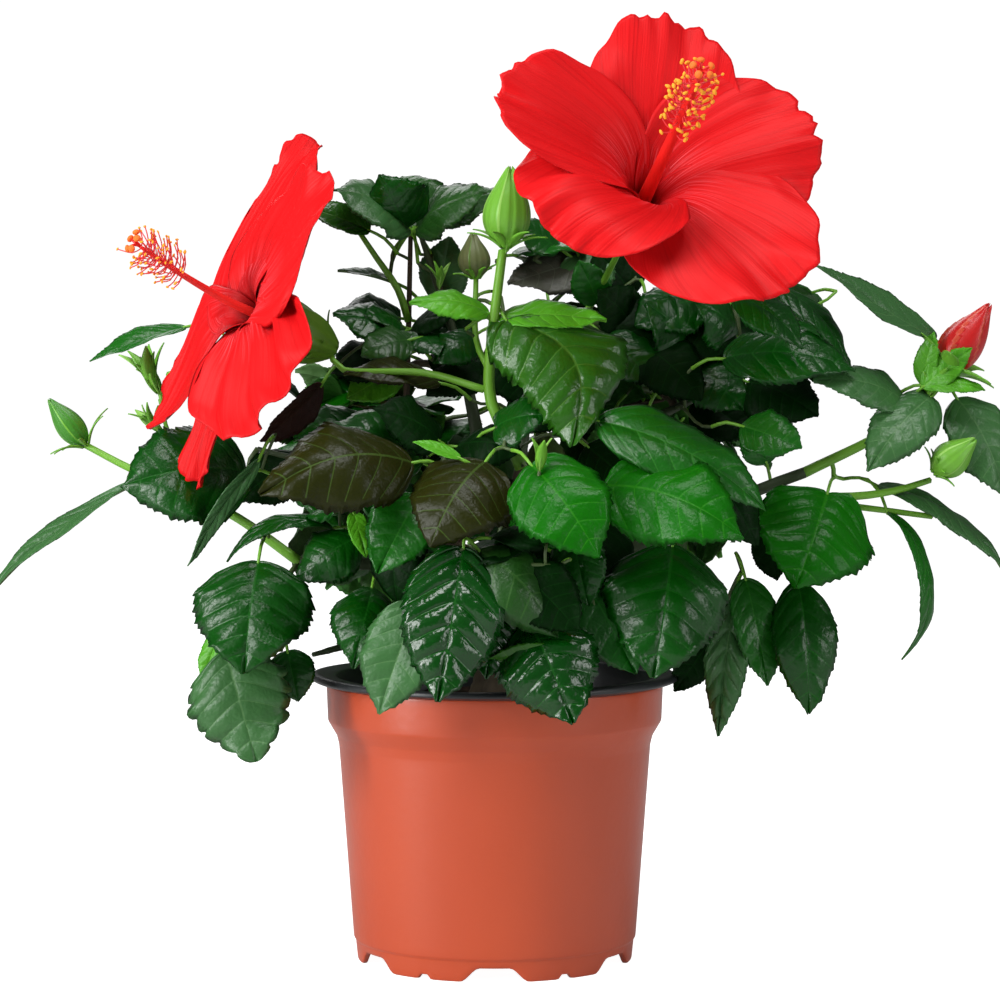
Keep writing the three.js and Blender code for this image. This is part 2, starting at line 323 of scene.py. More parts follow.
def ramp(made, source, stops):
    """A colour ramp over source: stops are (place, colour)."""
    colours = node(made, "ShaderNodeValToRGB", Fac=source)
    elements = colours.color_ramp.elements
    while len(elements) < len(stops):
        elements.new(0.5)
    for element, (position, colour) in zip(elements, stops):
        element.position = position
        element.color = (*colour, 1)
    return colours.outputs["Color"]


def blend(made, how, one, other):
    mix = node(made, "ShaderNodeMix", data_type="RGBA", blend_type=how, Factor=1.0)
    feed(made, mix.inputs[6], one)
    feed(made, mix.inputs[7], other)
    return mix.outputs[2]


def paint(made, colour_output):
    feed(made, shader_of(made).inputs["Base Color"], colour_output)


CRINKLES = 3.0        # how much stronger the crinkles of a leaf are than its net


def leaf_material(name, colour, roughness, specular):
    """A leaf's skin: a plain colour, with the fine net between the veins and the blade's crinkles as bump."""
    made = material("leaf_" + name, colour, roughness, specular)
    places = object_places(made)
    net = node(made, "ShaderNodeTexVoronoi", feature="DISTANCE_TO_EDGE", Scale=480.0, Vector=places)
    crinkled = maths(made, "MULTIPLY_ADD", noise(made, 230, 2), CRINKLES, net.outputs["Distance"])
    add_bump(made, crinkled, 0.0003, 0.5)
    return made


# Each tone of leaf has a colour for the blade, its veins and its underside, a roughness and a shine.
TONES = {
    "deep": ((0.001, 0.054, 0.001), (0.005, 0.082, 0.004), (0.024, 0.115, 0.014), 0.31, 0.36),
    "glossy": ((0.001, 0.042, 0.002), (0.005, 0.070, 0.005), (0.024, 0.105, 0.016), 0.20, 0.50),
    "mid": ((0.005, 0.098, 0.003), (0.015, 0.140, 0.008), (0.038, 0.145, 0.018), 0.33, 0.36),
    "bright": ((0.004, 0.108, 0.001), (0.014, 0.150, 0.004), (0.055, 0.200, 0.020), 0.33, 0.16),
    "fresh": ((0.070, 0.310, 0.008), (0.120, 0.400, 0.025), (0.120, 0.350, 0.030), 0.42, 0.34),
    "dusky": ((0.011, 0.060, 0.006), (0.024, 0.088, 0.013), (0.045, 0.110, 0.026), 0.38, 0.34),
    "grey": ((0.036, 0.122, 0.032), (0.062, 0.160, 0.050), (0.100, 0.180, 0.065), 0.38, 0.36),
    "bronze": ((0.014, 0.017, 0.001), (0.036, 0.066, 0.010), (0.048, 0.085, 0.016), 0.36, 0.17),
    "ash": ((0.052, 0.056, 0.040), (0.080, 0.095, 0.065), (0.070, 0.085, 0.050), 0.42, 0.26),
    "olive": ((0.020, 0.104, 0.005), (0.050, 0.150, 0.014), (0.090, 0.170, 0.024), 0.28, 0.38),
    "maroon": ((0.024, 0.006, 0.004), (0.040, 0.014, 0.008), (0.042, 0.016, 0.009), 0.50, 0.20),
    # The shade tone is painted shade: near-black leaves set where the inside of the crown lies in shade.
    "shade": ((0.0004, 0.014, 0.0004), (0.002, 0.026, 0.002), (0.004, 0.030, 0.002), 0.50, 0.08),
}
LEAF_MATERIALS = []
TONE_SLOTS = {}
for tone_name, (blade, vein, under, roughness, shine) in TONES.items():
    first_slot = len(LEAF_MATERIALS)
    LEAF_MATERIALS.append(leaf_material(tone_name, blade, roughness, shine))
    LEAF_MATERIALS.append(leaf_material(tone_name + "_vein", vein, roughness + 0.06, shine * 0.9))
    LEAF_MATERIALS.append(leaf_material(tone_name + "_under", under, 0.55, 0.25))
    TONE_SLOTS[tone_name] = np.arange(first_slot, len(LEAF_MATERIALS))


# ---------------------------------------------------------------- one leaf


ROUND_BASE = 0.36     # the part of a leaf, from its base, over which it widens
TIP_POINT = 1.32      # the higher, the blunter the tip
BASE_VEINS = 0.2      # the share of the side veins that fan out from the base
LEAF_THICKNESS = 0.28


def half_width(along):
    """A leaf's half width, from 0 to 1, at a place along it."""
    base = np.sqrt(np.clip(1 - (1 - np.clip(along / ROUND_BASE, 0, 1)) ** 2, 0, 1))
    rest = np.clip((along - ROUND_BASE) / (1 - ROUND_BASE), 0, 1)
    tip = np.cos(math.pi / 2 * rest ** TIP_POINT)
    return np.where(along < ROUND_BASE, base, tip) + 0.012 * rest


class LeafShape:
    """A leaf laid flat: rows run along the side veins from the midrib to the margin. Each stretch from one
    side vein to the next repeats the margin's teeth, given as (share of the stretch, height)."""

    def __init__(self, veins, teeth, depth, columns):
        row = [(k, f, tooth) for k in range(veins) for f, tooth in teeth]
        row = row[1:] + [(veins, 0.0, 0.0)]
        number, fraction, tooth = (np.array(v, float)[:, None] for v in zip(*row))
        q = (number + fraction) / veins
        past_base = np.clip((q - BASE_VEINS) / (1 - BASE_VEINS), 0, 1)
        at_rib = np.where(q < BASE_VEINS, 0.1 * q, 0.02 + 0.98 * past_base ** 1.05)
        at_edge = q ** 0.8
        t = np.concatenate([-np.array(columns[:0:-1]), columns])
        reach = np.abs(t)[None, :]
        side = np.sign(t)
        uneven = 1 + 0.35 * np.sin(47 * number + 3 * side) + 0.25 * np.sin(29 * q - 2 * side)
        size = uneven * tooth * smooth_step(0.08, 0.25, at_edge) * (1 - 0.6 * at_edge)
        edge = reach ** 8
        self.t = np.broadcast_to(t, (len(q), len(t)))
        self.along = at_rib + (at_edge - at_rib) * reach ** 1.3 + 0.02 * size * edge
        self.across = side * (half_width(at_edge) * reach + depth * size * edge)
        between = np.sin(math.pi * fraction) ** 0.7 * np.sin(math.pi * reach ** 0.8) ** 0.8
        self.quilt = between - 0.5 * np.exp(-(reach / 0.08) ** 2)
        self.rib = np.exp(-(reach / 0.1) ** 2) * (1 - 0.7 * self.along)
        parts = sheet_triangles(*self.t.shape)
        self.triangles = np.concatenate(parts)
        outer = np.maximum(np.abs(t[:-1]), np.abs(t[1:]))[None, :]
        on_vein = (fraction[:-1] == 0) & (outer < 0.93)
        on_rib = outer <= columns[1] + 1e-6
        kind = (on_vein | on_rib).astype(int)
        under = np.full(sum(len(p) for p in parts[1:]), 2)
        self.kind = np.concatenate([np.repeat(kind.ravel(), 2), under])


FINE_COLUMNS = (0, 0.026, 0.2, 0.42, 0.65, 0.86, 1)
SAW_TEETH = ((0, 1), (0.06, 0.95), (0.2, 0.1), (0.5, 0.65), (0.62, 0.1), (0.82, 0.6), (0.94, 0.96))
ROUND_TEETH = ((0, 0), (0.06, 0.1), (0.18, 0.7), (0.4, 1), (0.65, 1), (0.85, 0.75), (0.95, 0.2))
FINE_LEAF = LeafShape(8, SAW_TEETH, 0.075, FINE_COLUMNS)
SCALLOPED_LEAF = LeafShape(7, ROUND_TEETH, 0.15, FINE_COLUMNS)
PLAIN_LEAF = LeafShape(6, ((0, 1), (0.08, 0.3), (0.5, 0.6)), 0.11, (0, 0.04, 0.4, 0.8, 1))

# How a leaf is bent, as shares of its size: arch along it, fold at its midrib, curl of its sides, waves of
# its margin and how far the blade swells between its veins.
FORMS = {
    "flat": (0.05, 0.12, 0.15, 0.08, 0.006),
    "arched": (0.14, 0.08, 0.30, 0.09, 0.007),
    "domed": (0.18, -0.05, 0.42, 0.10, 0.009),
    "puffed": (0.12, 0.05, 0.34, 0.12, 0.017),
    "hung": (0.06, -0.12, 0.10, 0.10, 0.026),
    "edge": (0.04, 0.22, 0.05, 0.05, 0.007),
    "hooked": (0.26, 0.10, 0.25, 0.05, 0.007),
    "scalloped": (0.08, -0.08, 0.16, 0.14, 0.014),
}
RIPPLE = 0.011           # how far the whole blade is out of true, as a share of its length


def add_leaf(sheaf, shape, base, tip, width, face, tone, form, sickle=0.0, twist=0.0):
    """One leaf from base to tip, its upper side towards face."""
    arch, fold, curl, wave, quilt = FORMS[form]
    length = np.linalg.norm(tip - base)
    axis = (tip - base) / length
    normal = across_to(axis, face)
    side = np.cross(axis, normal)
    half = width / 2
    v, u = shape.along, shape.across * half
    phase = math.sin(base[0] * 1.7 + base[2] * 0.9) * 3
    long_wave = np.sin(2 * math.pi * (1.7 * v + phase + 0.4 * np.sign(u))) * shape.t ** 2
    short_wave = np.sin(2 * math.pi * (4.1 * v + 2 * phase + 0.3 * np.sign(u))) * shape.t ** 4
    lift = quilt * length * shape.quilt + fold * np.abs(u) - curl * u * u / half
    lift = lift + wave * half * (long_wave + 0.5 * short_wave)
    off_rib = np.minimum(1, 3 * np.abs(shape.t))
    for number in range(1, 4):
        angle = phase * 7 * number
        cycles = 2 * math.pi * (0.9 + 0.7 * number) / length
        run = (v * length) * math.cos(angle) + u * math.sin(angle)
        lift = lift + RIPPLE * length / number * np.sin(cycles * run + angle * 3) * off_rib
    rise = arch * length * 4 * v * (1 - v)
    slope = arch * 4 * (1 - 2 * v)
    square = normal - slope[..., None] * axis
    square = square / np.linalg.norm(square, axis=-1, keepdims=True)
    turn = (twist * (v - 0.5))[..., None]
    sideways = side * np.cos(turn) + square * np.sin(turn)
    square = square * np.cos(turn) - side * np.sin(turn)
    sway = sickle * length * np.sin(math.pi * v)
    spine = base + axis * (length * v)[..., None] + normal * rise[..., None] + side * sway[..., None]
    top = spine + sideways * u[..., None] + square * lift[..., None]
    depth = LEAF_THICKNESS * (1 + 2.2 * shape.rib)
    bottom = top - square * depth[..., None]
    sheaf.add(sheet_points(top, bottom), shape.triangles, TONE_SLOTS[tone][shape.kind])


# ---------------------------------------------------------------- twigs


class Twigs:
    """The net of shoots. Each new one leaves the nearest point of what has grown, and all thicken with what
    they bear. A chain is the numbers of its points, the kind of shoot, and its end radii if they are set."""

    STEP = 5.0
    YOUNG_REACH = 105.0       # how far out to the sides a shoot is still green

    def __init__(self):
        self.points, self.parent, self.load, self.chains = [], [], [], []

    def root(self, point):
        self.points.append(np.asarray(point, float))
        self.parent.append(-1)
        self.load.append(0)
        return len(self.points) - 1

    def nearest(self, point):
        return int(np.argmin(np.linalg.norm(np.array(self.points) - point, axis=1)))

    def grow(self, path, start, kind="shoot", girth=None):
        """A shoot along path, whose first point is taken to be the point numbered start."""
        chain = [start]
        for point in path[1:]:
            self.points.append(np.asarray(point, float))
            self.parent.append(chain[-1])
            self.load.append(0)
            chain.append(len(self.points) - 1)
        self.chains.append((chain, kind, girth))
        return chain[-1]

    def reach_to(self, target, heading):
        """A curved shoot from the nearest point to target, which it comes to along heading."""
        heading = unit(heading)
        start = self.nearest(target - heading * 6)
        origin = self.points[start]
        span = np.linalg.norm(target - origin)
        if span < 1.0:
            return start
        count = max(2, int(span / self.STEP) + 1)
        t = np.linspace(0, 1, count + 1)[:, None]
        leave = origin + 0.35 * span * unit(0.6 * unit(target - origin) + 0.4 * UP)
        arrive = target - 0.35 * span * heading
        path = ((1 - t) ** 3 * origin + 3 * (1 - t) ** 2 * t * leave
                + 3 * (1 - t) * t ** 2 * arrive + t ** 3 * target)
        return self.grow(path, start)

    def bear(self, index):
        """One leaf, bud or bloom on the point numbered index, whose weight is felt down to the root."""
        while index >= 0:
            self.load[index] += 1
            index = self.parent[index]

    def make(self):
        """The shoots as tubes: slot 0 is young and green, 1 dusky and 2 bark. Bare ends are left off."""
        sheaf = Sheaf()
        for chain, kind, girth in self.chains:
            if kind == "shoot":
                chain = chain[:1] + [i for i in chain[1:] if self.load[i] > 0]
            if len(chain) < 2:
                continue
            points = np.array([self.points[i] for i in chain])
            load = np.array([max(self.load[i], 1) for i in chain[1:]], float)
            load = np.concatenate([load[:1], load])
            radii = 0.62 * load ** 0.36
            if kind == "petiole":
                radii = np.linspace(0.75, 0.6, len(points))
            young = kind != "shoot" or abs(points[-1][0]) > self.YOUNG_REACH
            slot = 0 if young else (2 if radii.max() > 1.5 else 1)
            if girth:
                radii = np.linspace(*girth, len(points))
            sheaf.add(*tube(points, radii, 7), slot)
        return sheaf


# ---------------------------------------------------------------- the leaves that lead the outline


# For each mass, its leading leaves: where the blade starts and ends from the centre of the mass, its width,
# which way it faces, its tone and its form, and then its sickle bend where it has one.
LEADING_LEAVES = {
    "front_low": [
        ((-17, 18, 22), (-26, 0, -32), 36, (0.12, -0.93, 0.3), "glossy", "hung"),
        ((-33, 12, 2), (-47, 5, -37), 27, (-0.2, -0.95, 0.2), "grey", "flat"),
        ((-6, 28, 4), (-9, 20, -26), 20, (0.2, -0.9, 0.4), "glossy", "hung"),
        ((6, 28, -5), (22, 12, -41), 37, (0, -0.88, 0.45), "glossy", "puffed"),
        ((18, 24, -18), (-9, 21, -19), 13, (0, -0.8, -0.4), "olive", "flat"),
        ((7, 18, 51), (31, 0, 19), 35, (0, -0.84, 0.5), "bright", "arched"),
        ((-9, 28, 52), (-29, 8, 22), 38, (-0.1, -0.82, 0.55), "bronze", "domed"),
        ((0, 40, 36), (19, 34, 20), 16, (0.1, -0.85, 0.5), "bright", "flat"),
        ((4, 54, 32), (8, 48, -1), 28, (0, -0.95, 0.3), "shade", "flat"),
        ((22, 38, 26), (28, 32, -1), 20, (-0.2, -0.9, 0.3), "deep", "flat"),
        ((28, 36, 6), (45, 27, -25), 24, (0.1, -0.9, 0.4), "deep", "flat"),
        ((20, 44, 12), (38, 38, -14), 24, (0, -0.9, 0.4), "shade", "arched"),
        ((2, 22, 14), (24, 16, -8), 24, (0, -0.9, 0.4), "shade", "flat"),
    ],
    "front_left": [
        ((17, 0, 23), (-37, -20, 12), 37, (0, -0.84, 0.52), "bronze", "domed", 0.05),
        ((20, 24, 22), (-14, 10, 36), 28, (0, -0.7, 0.7), "deep", "arched"),
        ((26, 20, 30), (2, 8, 42), 24, (0, -0.75, 0.65), "shade", "arched"),
        ((46, 12, 35), (66, 2, 40), 22, (0.1, -0.8, 0.6), "deep", "arched"),
        ((32, 22, 28), (56, 12, 26), 22, (0, -0.8, 0.6), "shade", "domed"),
        ((19, 6, 11), (4, -4, -17), 25, (-0.1, -0.92, 0.35), "mid", "flat"),
        ((-6, 22, 4), (-1, 18, -13), 8, (0.3, -0.9, 0.2), "fresh", "flat"),
        ((1, 24, -24), (-5, 0, -52), 25, (0.1, -0.9, 0.4), "deep", "domed"),
        ((34, -12, 25), (17, -14, 31), 6, (-0.2, -0.6, 0.7), "fresh", "edge"),
        ((-14, 36, -3), (-53, 26, -15), 10, (0.15, -0.45, 0.87), "deep", "hooked"),
        ((-4, 32, -6), (-27, 28, -22), 22, (0.1, -0.85, 0.5), "deep", "domed"),
    ],
    "front_right": [
        ((-25, -6, 9), (25, -24, -9), 37, (0.1, -0.86, 0.5), "bright", "arched", -0.03),
        ((-27, 4, 32), (34, -4, 0), 27, (-0.15, -0.72, 0.68), "mid", "arched"),
        ((1, 7, -13), (-7, -12, -60), 44, (0.1, -0.9, 0.4), "deep", "puffed"),
        ((-22, 20, -6), (-30, 12, -40), 24, (0.1, -0.9, 0.4), "shade", "flat"),
        ((-30, 26, 22), (-8, 18, 2), 26, (0, -0.8, 0.6), "shade", "flat"),
        ((10, 22, 16), (32, 14, -14), 26, (0.1, -0.85, 0.5), "shade", "domed"),
    ],
    "top_middle": [
        ((-16, -48, -11), (8, -72, -57), 44, (0.05, -0.8, 0.6), "olive", "puffed", -0.24),
        ((-22, -46, -9), (-51, -54, -6), 15, (0, -0.65, 0.75), "fresh", "arched"),
        ((-19, -44, -10), (21, -52, -12), 16, (0, -0.6, 0.8), "fresh", "flat"),
        ((23, 24, 12), (-15, 12, 2), 25, (0, -0.75, 0.65), "ash", "flat"),
        ((12, 20, 14), (20, 10, -5), 22, (0, -0.9, 0.4), "grey", "flat"),
        ((5, 16, 16), (-14, 10, 25), 17, (0, -0.75, 0.65), "deep", "flat"),
        ((-18, -20, -18), (-6, -28, -44), 24, (-0.1, -0.9, 0.4), "shade", "flat"),
        ((-16, -10, -45), (8, -20, -52), 17, (0, -0.85, 0.5), "shade", "arched"),
        ((-27, -12, -17), (-43, -20, -28), 17, (0, -0.85, 0.5), "deep", "domed"),
        ((-24, -4, -30), (-46, -12, -40), 18, (0, -0.8, 0.6), "shade", "arched"),
        ((-30, 8, -6), (-44, 2, -24), 18, (-0.2, -0.85, 0.4), "shade", "flat"),
        ((38, 8, -3), (42, -6, -30), 27, (0, -0.9, 0.4), "shade", "flat"),
        ((34, 0, -20), (58, -14, -42), 27, (0.1, -0.85, 0.5), "shade", "arched"),
        ((20, 2, -16), (40, -10, -36), 24, (0, -0.85, 0.5), "deep", "arched"),
        ((35, 10, -17), (19, -2, 0), 23, (0, -0.88, 0.4), "shade", "arched"),
        ((56, 6, -24), (37, -8, -5), 25, (0, -0.85, 0.5), "deep", "arched"),
        ((34, 22, -2), (18, 14, 16), 23, (0, -0.9, 0.4), "shade", "flat"),
        ((20, 8, -5), (12, -2, 11), 15, (-0.2, -0.9, 0.3), "mid", "flat"),
        ((62, 16, -8), (48, 4, -26), 24, (0.1, -0.88, 0.4), "shade", "domed"),
    ],
    "top_left": [
        ((-2, -2, -9), (-31, -16, 5), 29, (-0.1, -0.62, 0.78), "grey", "arched"),
        ((-3, -4, -9), (-13, -16, 11), 27, (-0.3, -0.78, 0.5), "deep", "domed"),
        ((-1, 2, -9), (-6, 26, 12), 34, (0, -0.6, 0.8), "dusky", "arched"),
        ((0, -3, -9), (27, -14, 4), 27, (0.15, -0.66, 0.74), "dusky", "arched"),
        ((2, 2, -7), (34, 6, 6), 22, (0.1, -0.6, 0.8), "dusky", "flat"),
        ((-17, -6, -10), (-42, -9, -1), 13, (0.1, -0.75, 0.6), "olive", "edge"),
        ((-9, 4, -29), (-30, 2, -25), 12, (0, -0.2, 1), "grey", "edge"),
        ((9, 6, -36), (13, 2, -12), 20, (-0.3, -0.9, 0.3), "grey", "flat"),
        ((-5, 0, -46), (-19, -14, -42), 17, (0, -0.7, 0.7), "deep", "arched"),
        ((-2, 0, -47), (15, -14, -43), 19, (0, -0.7, 0.7), "shade", "arched"),
        ((-4, -4, -48), (-13, -24, -56), 19, (-0.1, -0.75, 0.6), "dusky", "arched"),
        ((-1, -4, -48), (9, -22, -57), 19, (0.1, -0.75, 0.6), "deep", "arched"),
        ((-6, 10, -43), (-31, 6, -42), 21, (0, -0.7, 0.7), "deep", "arched"),
        ((-8, 12, -58), (-34, 4, -64), 22, (0, -0.75, 0.65), "shade", "arched"),
        ((6, 12, -56), (26, 4, -62), 20, (0, -0.75, 0.65), "shade", "arched"),
    ],
    "left_upper": [
        ((76, 8, 16), (55, 4, 5), 17, (0, -0.8, 0.5), "fresh", "flat"),
        ((47, -22, 11), (24, -32, -10), 17, (0.5, -0.6, -0.5), "maroon", "edge"),
        ((78, -14, 29), (51, -22, 37), 22, (0, -0.65, 0.75), "deep", "arched"),
        ((80, -26, 28), (62, -34, 22), 18, (0, -0.8, 0.6), "dusky", "arched"),
        ((92, -36, 12), (56, -44, 15), 16, (0, -0.6, 0.8), "bronze", "arched"),
        ((-6, -4, 33), (-42, -14, 20), 12, (0.1, -0.4, 0.9), "mid", "edge"),
        ((19, -32, -21), (-27, -46, -26), 42, (-0.1, -0.88, 0.45), "deep", "arched"),
        ((25, -48, -16), (-1, -58, -55), 7, (0.72, -0.35, 0.6), "grey", "edge", 0.05),
        ((64, -6, -4), (36, -14, -10), 22, (0, -0.75, 0.65), "deep", "arched"),
        ((70, 4, -10), (48, -4, -30), 24, (0, -0.8, 0.6), "shade", "flat"),
        ((40, -2, -18), (14, -10, -34), 24, (0, -0.8, 0.6), "shade", "arched"),
    ],
    "left_outer": [
        ((31, 3, 6), (-27, -7, -41), 11, (-0.3, -0.45, 0.82), "grey", "edge", 0.05),
    ],
    "left_lower": [
        ((5, -10, 33), (1, -28, -7), 43, (-0.05, -0.9, 0.42), "deep", "puffed"),
        ((-7, -12, 0), (5, -22, -40), 35, (-0.05, -0.93, 0.3), "grey", "scalloped"),
        ((-9, 4, 7), (-17, 2, -13), 10, (-0.3, -0.9, 0.2), "fresh", "flat"),
        ((15, -2, -1), (19, -4, -20), 17, (0, -0.9, 0.3), "deep", "flat"),
    ],
    "right_lower": [
        ((21, 4, 50), (7, -22, 16), 46, (0.1, -0.88, 0.45), "bright", "puffed"),
        ((-10, 2, 18), (-2, -5, -22), 18, (0.2, -0.95, 0.2), "mid", "flat"),
        ((10, 2, 16), (13, -8, -32), 24, (0.1, -0.95, 0.25), "deep", "arched"),
        ((-14, 2, 10), (-20, -4, -41), 17, (-0.35, -0.85, 0.3), "grey", "hung"),
        ((-21, 14, -5), (-36, 12, -26), 15, (0.2, -0.9, 0.4), "shade", "flat"),
        ((-2, 18, 34), (3, 14, 16), 13, (0, -0.9, 0.2), "shade", "flat"),
    ],
    "right_upper": [
        ((-22, -24, -10), (27, -34, -14), 26, (0, -0.75, 0.65), "deep", "arched"),
        ((-19, -36, 14), (7, -42, -6), 18, (0, -0.7, 0.7), "deep", "arched"),
        ((-2, -12, 18), (26, -24, -16), 16, (0.5, -0.5, 0.7), "deep", "arched"),
        ((-16, -36, -35), (6, -44, -43), 20, (0.1, -0.85, 0.5), "mid", "flat"),
        ((-29, 0, 12), (-55, -10, 2), 25, (0, -0.8, 0.6), "deep", "arched"),
        ((-20, 4, 8), (-38, -8, -15), 24, (-0.1, -0.85, 0.5), "shade", "domed"),
        ((-12, -8, -19), (14, -20, -32), 28, (0.1, -0.85, 0.5), "shade", "arched"),
        ((-5, -18, -50), (-11, -24, -32), 16, (0, -0.9, 0.3), "mid", "flat"),
        ((4, 6, 4), (24, -4, -22), 24, (0.1, -0.8, 0.6), "deep", "domed"),
        ((-34, -2, -12), (-14, -14, -30), 26, (0.1, -0.85, 0.5), "deep", "arched"),
        ((-15, 2, -2), (-32, -12, 11), 23, (0, -0.85, 0.5), "deep", "domed"),
        ((-8, 18, 2), (-30, 10, -4), 26, (0, -0.85, 0.5), "shade", "flat"),
        ((-30, 14, -26), (-8, 6, -40), 26, (0, -0.85, 0.5), "shade", "flat"),
    ],
    "right_outer": [
        ((-18, -9, -22), (-13, -16, -78), 13, (0.8, -0.5, 0.3), "mid", "hooked"),
        ((-22, -4, -12), (28, -8, -48), 16, (0.3, -0.4, 0.87), "grey", "arched"),
        ((-11, -12, 19), (-48, -26, 28), 20, (0, -0.75, 0.65), "grey", "arched"),
        ((-2, -14, 22), (-28, -30, -6), 23, (-0.1, -0.82, 0.55), "grey", "arched"),
        ((8, -8, 21), (25, -16, -16), 26, (0.2, -0.85, 0.5), "grey", "arched"),
        ((-6, -15, 25), (12, -20, 40), 11, (0.1, -0.9, 0.4), "fresh", "flat"),
        ((-6, -13, 26), (-2, -18, 46), 9, (-0.3, -0.9, 0.3), "fresh", "flat"),
        ((-3, -16, 26), (17, -20, 24), 8, (0.1, -0.8, 0.6), "fresh", "arched"),
        ((0, -8, 43), (-46, -18, 71), 18, (0.42, -0.55, 0.72), "grey", "edge", -0.09),
    ],
}

# The shoots that stand clear of the leaves: a mass, points from its centre with the inner end first, the kind
# of shoot and the radii of its two ends.
CLEAR_SHOOTS = {
    "bud_stem": ("top_middle", [(-10, -46, -66), (-19, -47, -47), (-22, -46, -37), (-21, -46, -18),
                                (-17, -46, 14)], "green", (2.5, 1.7)),
    "umbrella_stem": ("top_left", [(-4, 8, -76), (-3, 4, -47), (-2, 0, -10)], "shoot", (1.3, 0.9)),
    "upper_left_stem": ("top_left", [(-3, 4, -44), (-7, 0, -32), (-15, -4, -20), (-21, -6, -11)],
                        "green", (1.7, 1.0)),
    "second_bud_stem": ("top_middle", [(-22, -44, -30), (-27, -36, -18), (-27, -27, 4)], "green", (1.3, 1.0)),
    "tuft_shoot": ("left_upper", [(12, 2, -34), (-2, 5, -24), (-13, 5, -10), (-17, 4, 5)],
                   "green", (1.2, 0.8)),
    "right_low_shoot": ("right_outer", [(-54, -16, -16), (-32, -14, -16), (-16, -12, -14), (-2, -10, -10)],
                        "green", (1.9, 1.2)),
    "right_stub": ("right_outer", [(-32, -8, -20), (-16, -8, -22), (-1, -8, -24)], "green", (1.3, 1.1)),
}

# Where the sky shows through the crown from the front: a mass, the offset from its centre and the half size.
WINDOWS = [
    ("top_left", (-16, -26), (10, 11)),
    ("top_left", (21, -76), (8, 5)),
    ("top_left", (-7, -72), (6, 5)),
    ("left_upper", (43, 10), (7, 7)),
    ("left_upper", (24, -44), (11, 8)),
    ("left_lower", (28, 8), (4, 12)),
    ("left_lower", (28, 36), (9, 5)),
    ("right_outer", (-38, 13), (11, 9)),
    ("right_lower", (-30, -30), (8, 14)),
    ("right_lower", (32, -20), (10, 34)),
]


def seen(point):
    """Where a point is seen from the front, as x and z in the upright plane through the stem."""
    reach = -EYE[1] / (point[1] - EYE[1])
    return np.array([EYE[0] + (point[0] - EYE[0]) * reach, EYE[2] + (point[2] - EYE[2]) * reach])


def in_window(point):
    at = seen(point)
    for mass, offset, size in WINDOWS:
        middle = seen(place(mass, (0, 0, 0))) + offset
        if np.sum(((at - middle) / size) ** 2) < 1:
            return True
    return False


# ---------------------------------------------------------------- the stem and its boughs


# Two boughs turn into green shoots on the way out: points from the centre of their mass, the inner end first,
# of which the first few are still bark.
GREEN_ENDS = {
    "left_outer": (1, [(96, -22, -22), (73, -18, -6), (50, -12, 5), (32, -8, 12), (14, -4, 21)]),
    "right_outer": (3, [(-96, -8, -28), (-68, -12, -14), (-50, -14, -7), (-22, -14, 7), (-10, -10, 18),
                        (1, -10, 31)]),
}

BOUGH_BASE_RADIUS = 3.6
BOUGH_TIP_RADIUS = 2.1
# The radii that the bark has at the stem and a third of the way out, then at two thirds and at the end.
BOUGH_GIRTH = (4.1, 2.6)
THICK_ENDS, THIN_ENDS = (2.3, 2.1), (1.7, 0.9)
YOUNG_WOOD = 0.35         # the share of a bough, from the stem, beyond which its bark is still green
BOUGH_BEND = 0.45         # where along a bough it bends, and how far it rises there, as shares of its length
BOUGH_RISE = 0.12
BARK_STEP = 4.0
STEM_FLARE = 11.0
STEM_MIDDLE = 7.5
STEM_TOP_RADIUS = 5.2


def bough_ends(mass):
    """Where a bough leaves the stem and where it ends in its mass, from its box."""
    low, high = corners("bough_" + mass)
    outward = np.append(np.sign(CENTRE[mass][:2]), 1)
    start = np.where(outward > 0, low + BOUGH_BASE_RADIUS, high - BOUGH_BASE_RADIUS)
    end = np.where(outward > 0, high - BOUGH_TIP_RADIUS, low + BOUGH_TIP_RADIUS)
    narrow = (high - low) / 2 < BOUGH_BASE_RADIUS * 1.3
    middle = (low + high) / 2
    start[:2] = np.where(narrow[:2], 0, start[:2])
    end[:2] = np.where(narrow[:2], middle[:2], end[:2])
    return start, end


def bough_path(mass):
    start, end = bough_ends(mass)
    if mass in GREEN_ENDS:
        count, offsets = GREEN_ENDS[mass]
        return smooth_path([start] + [place(mass, offset) for offset in offsets[:count]], BARK_STEP)
    bend = start + (end - start) * BOUGH_BEND + UP * BOUGH_RISE * np.linalg.norm(end - start)
    return smooth_path([start, bend, end], BARK_STEP)


def rough_tube(points, radii, sides, relief, rng):
    """A limb with bark: long ridges, rings at its old nodes and small knobs. A path of few points is first
    made into a smooth curve."""
    points = smooth_path(points, 1.2) if len(points) < 12 else np.asarray(points, float)
    radii = np.interp(np.linspace(0, 1, len(points)), np.linspace(0, 1, len(radii)), radii)
    made, triangles = tube(points, radii, sides)
    angle = np.tile(ring_turns(sides), len(points))
    steps = np.linalg.norm(np.diff(points, axis=0), axis=1)
    along = np.repeat(np.concatenate([[0], np.cumsum(steps)]), sides)
    ridges = np.zeros(len(angle))
    for wave in range(6):
        count, drift, phase = rng.integers(2, 9), rng.uniform(-0.25, 0.25), rng.uniform(0, 6.3)
        ridges += np.sin(angle * count + along * drift + phase) / 6
    rings = np.exp(-((along % 11 - 5.5) / 0.8) ** 2)
    knobs = np.sin(along * 2.3 + 3 * np.sin(angle * 3)) * np.sin(angle * 5 + along)
    outward = made[:-2] - np.repeat(points, sides, axis=0)
    outward = outward / np.maximum(np.linalg.norm(outward, axis=1, keepdims=True), 1e-9)
    made[:-2] += outward * (relief * (0.5 * ridges + 0.5 * rings + 0.22 * knobs))[:, None]
    return made, triangles


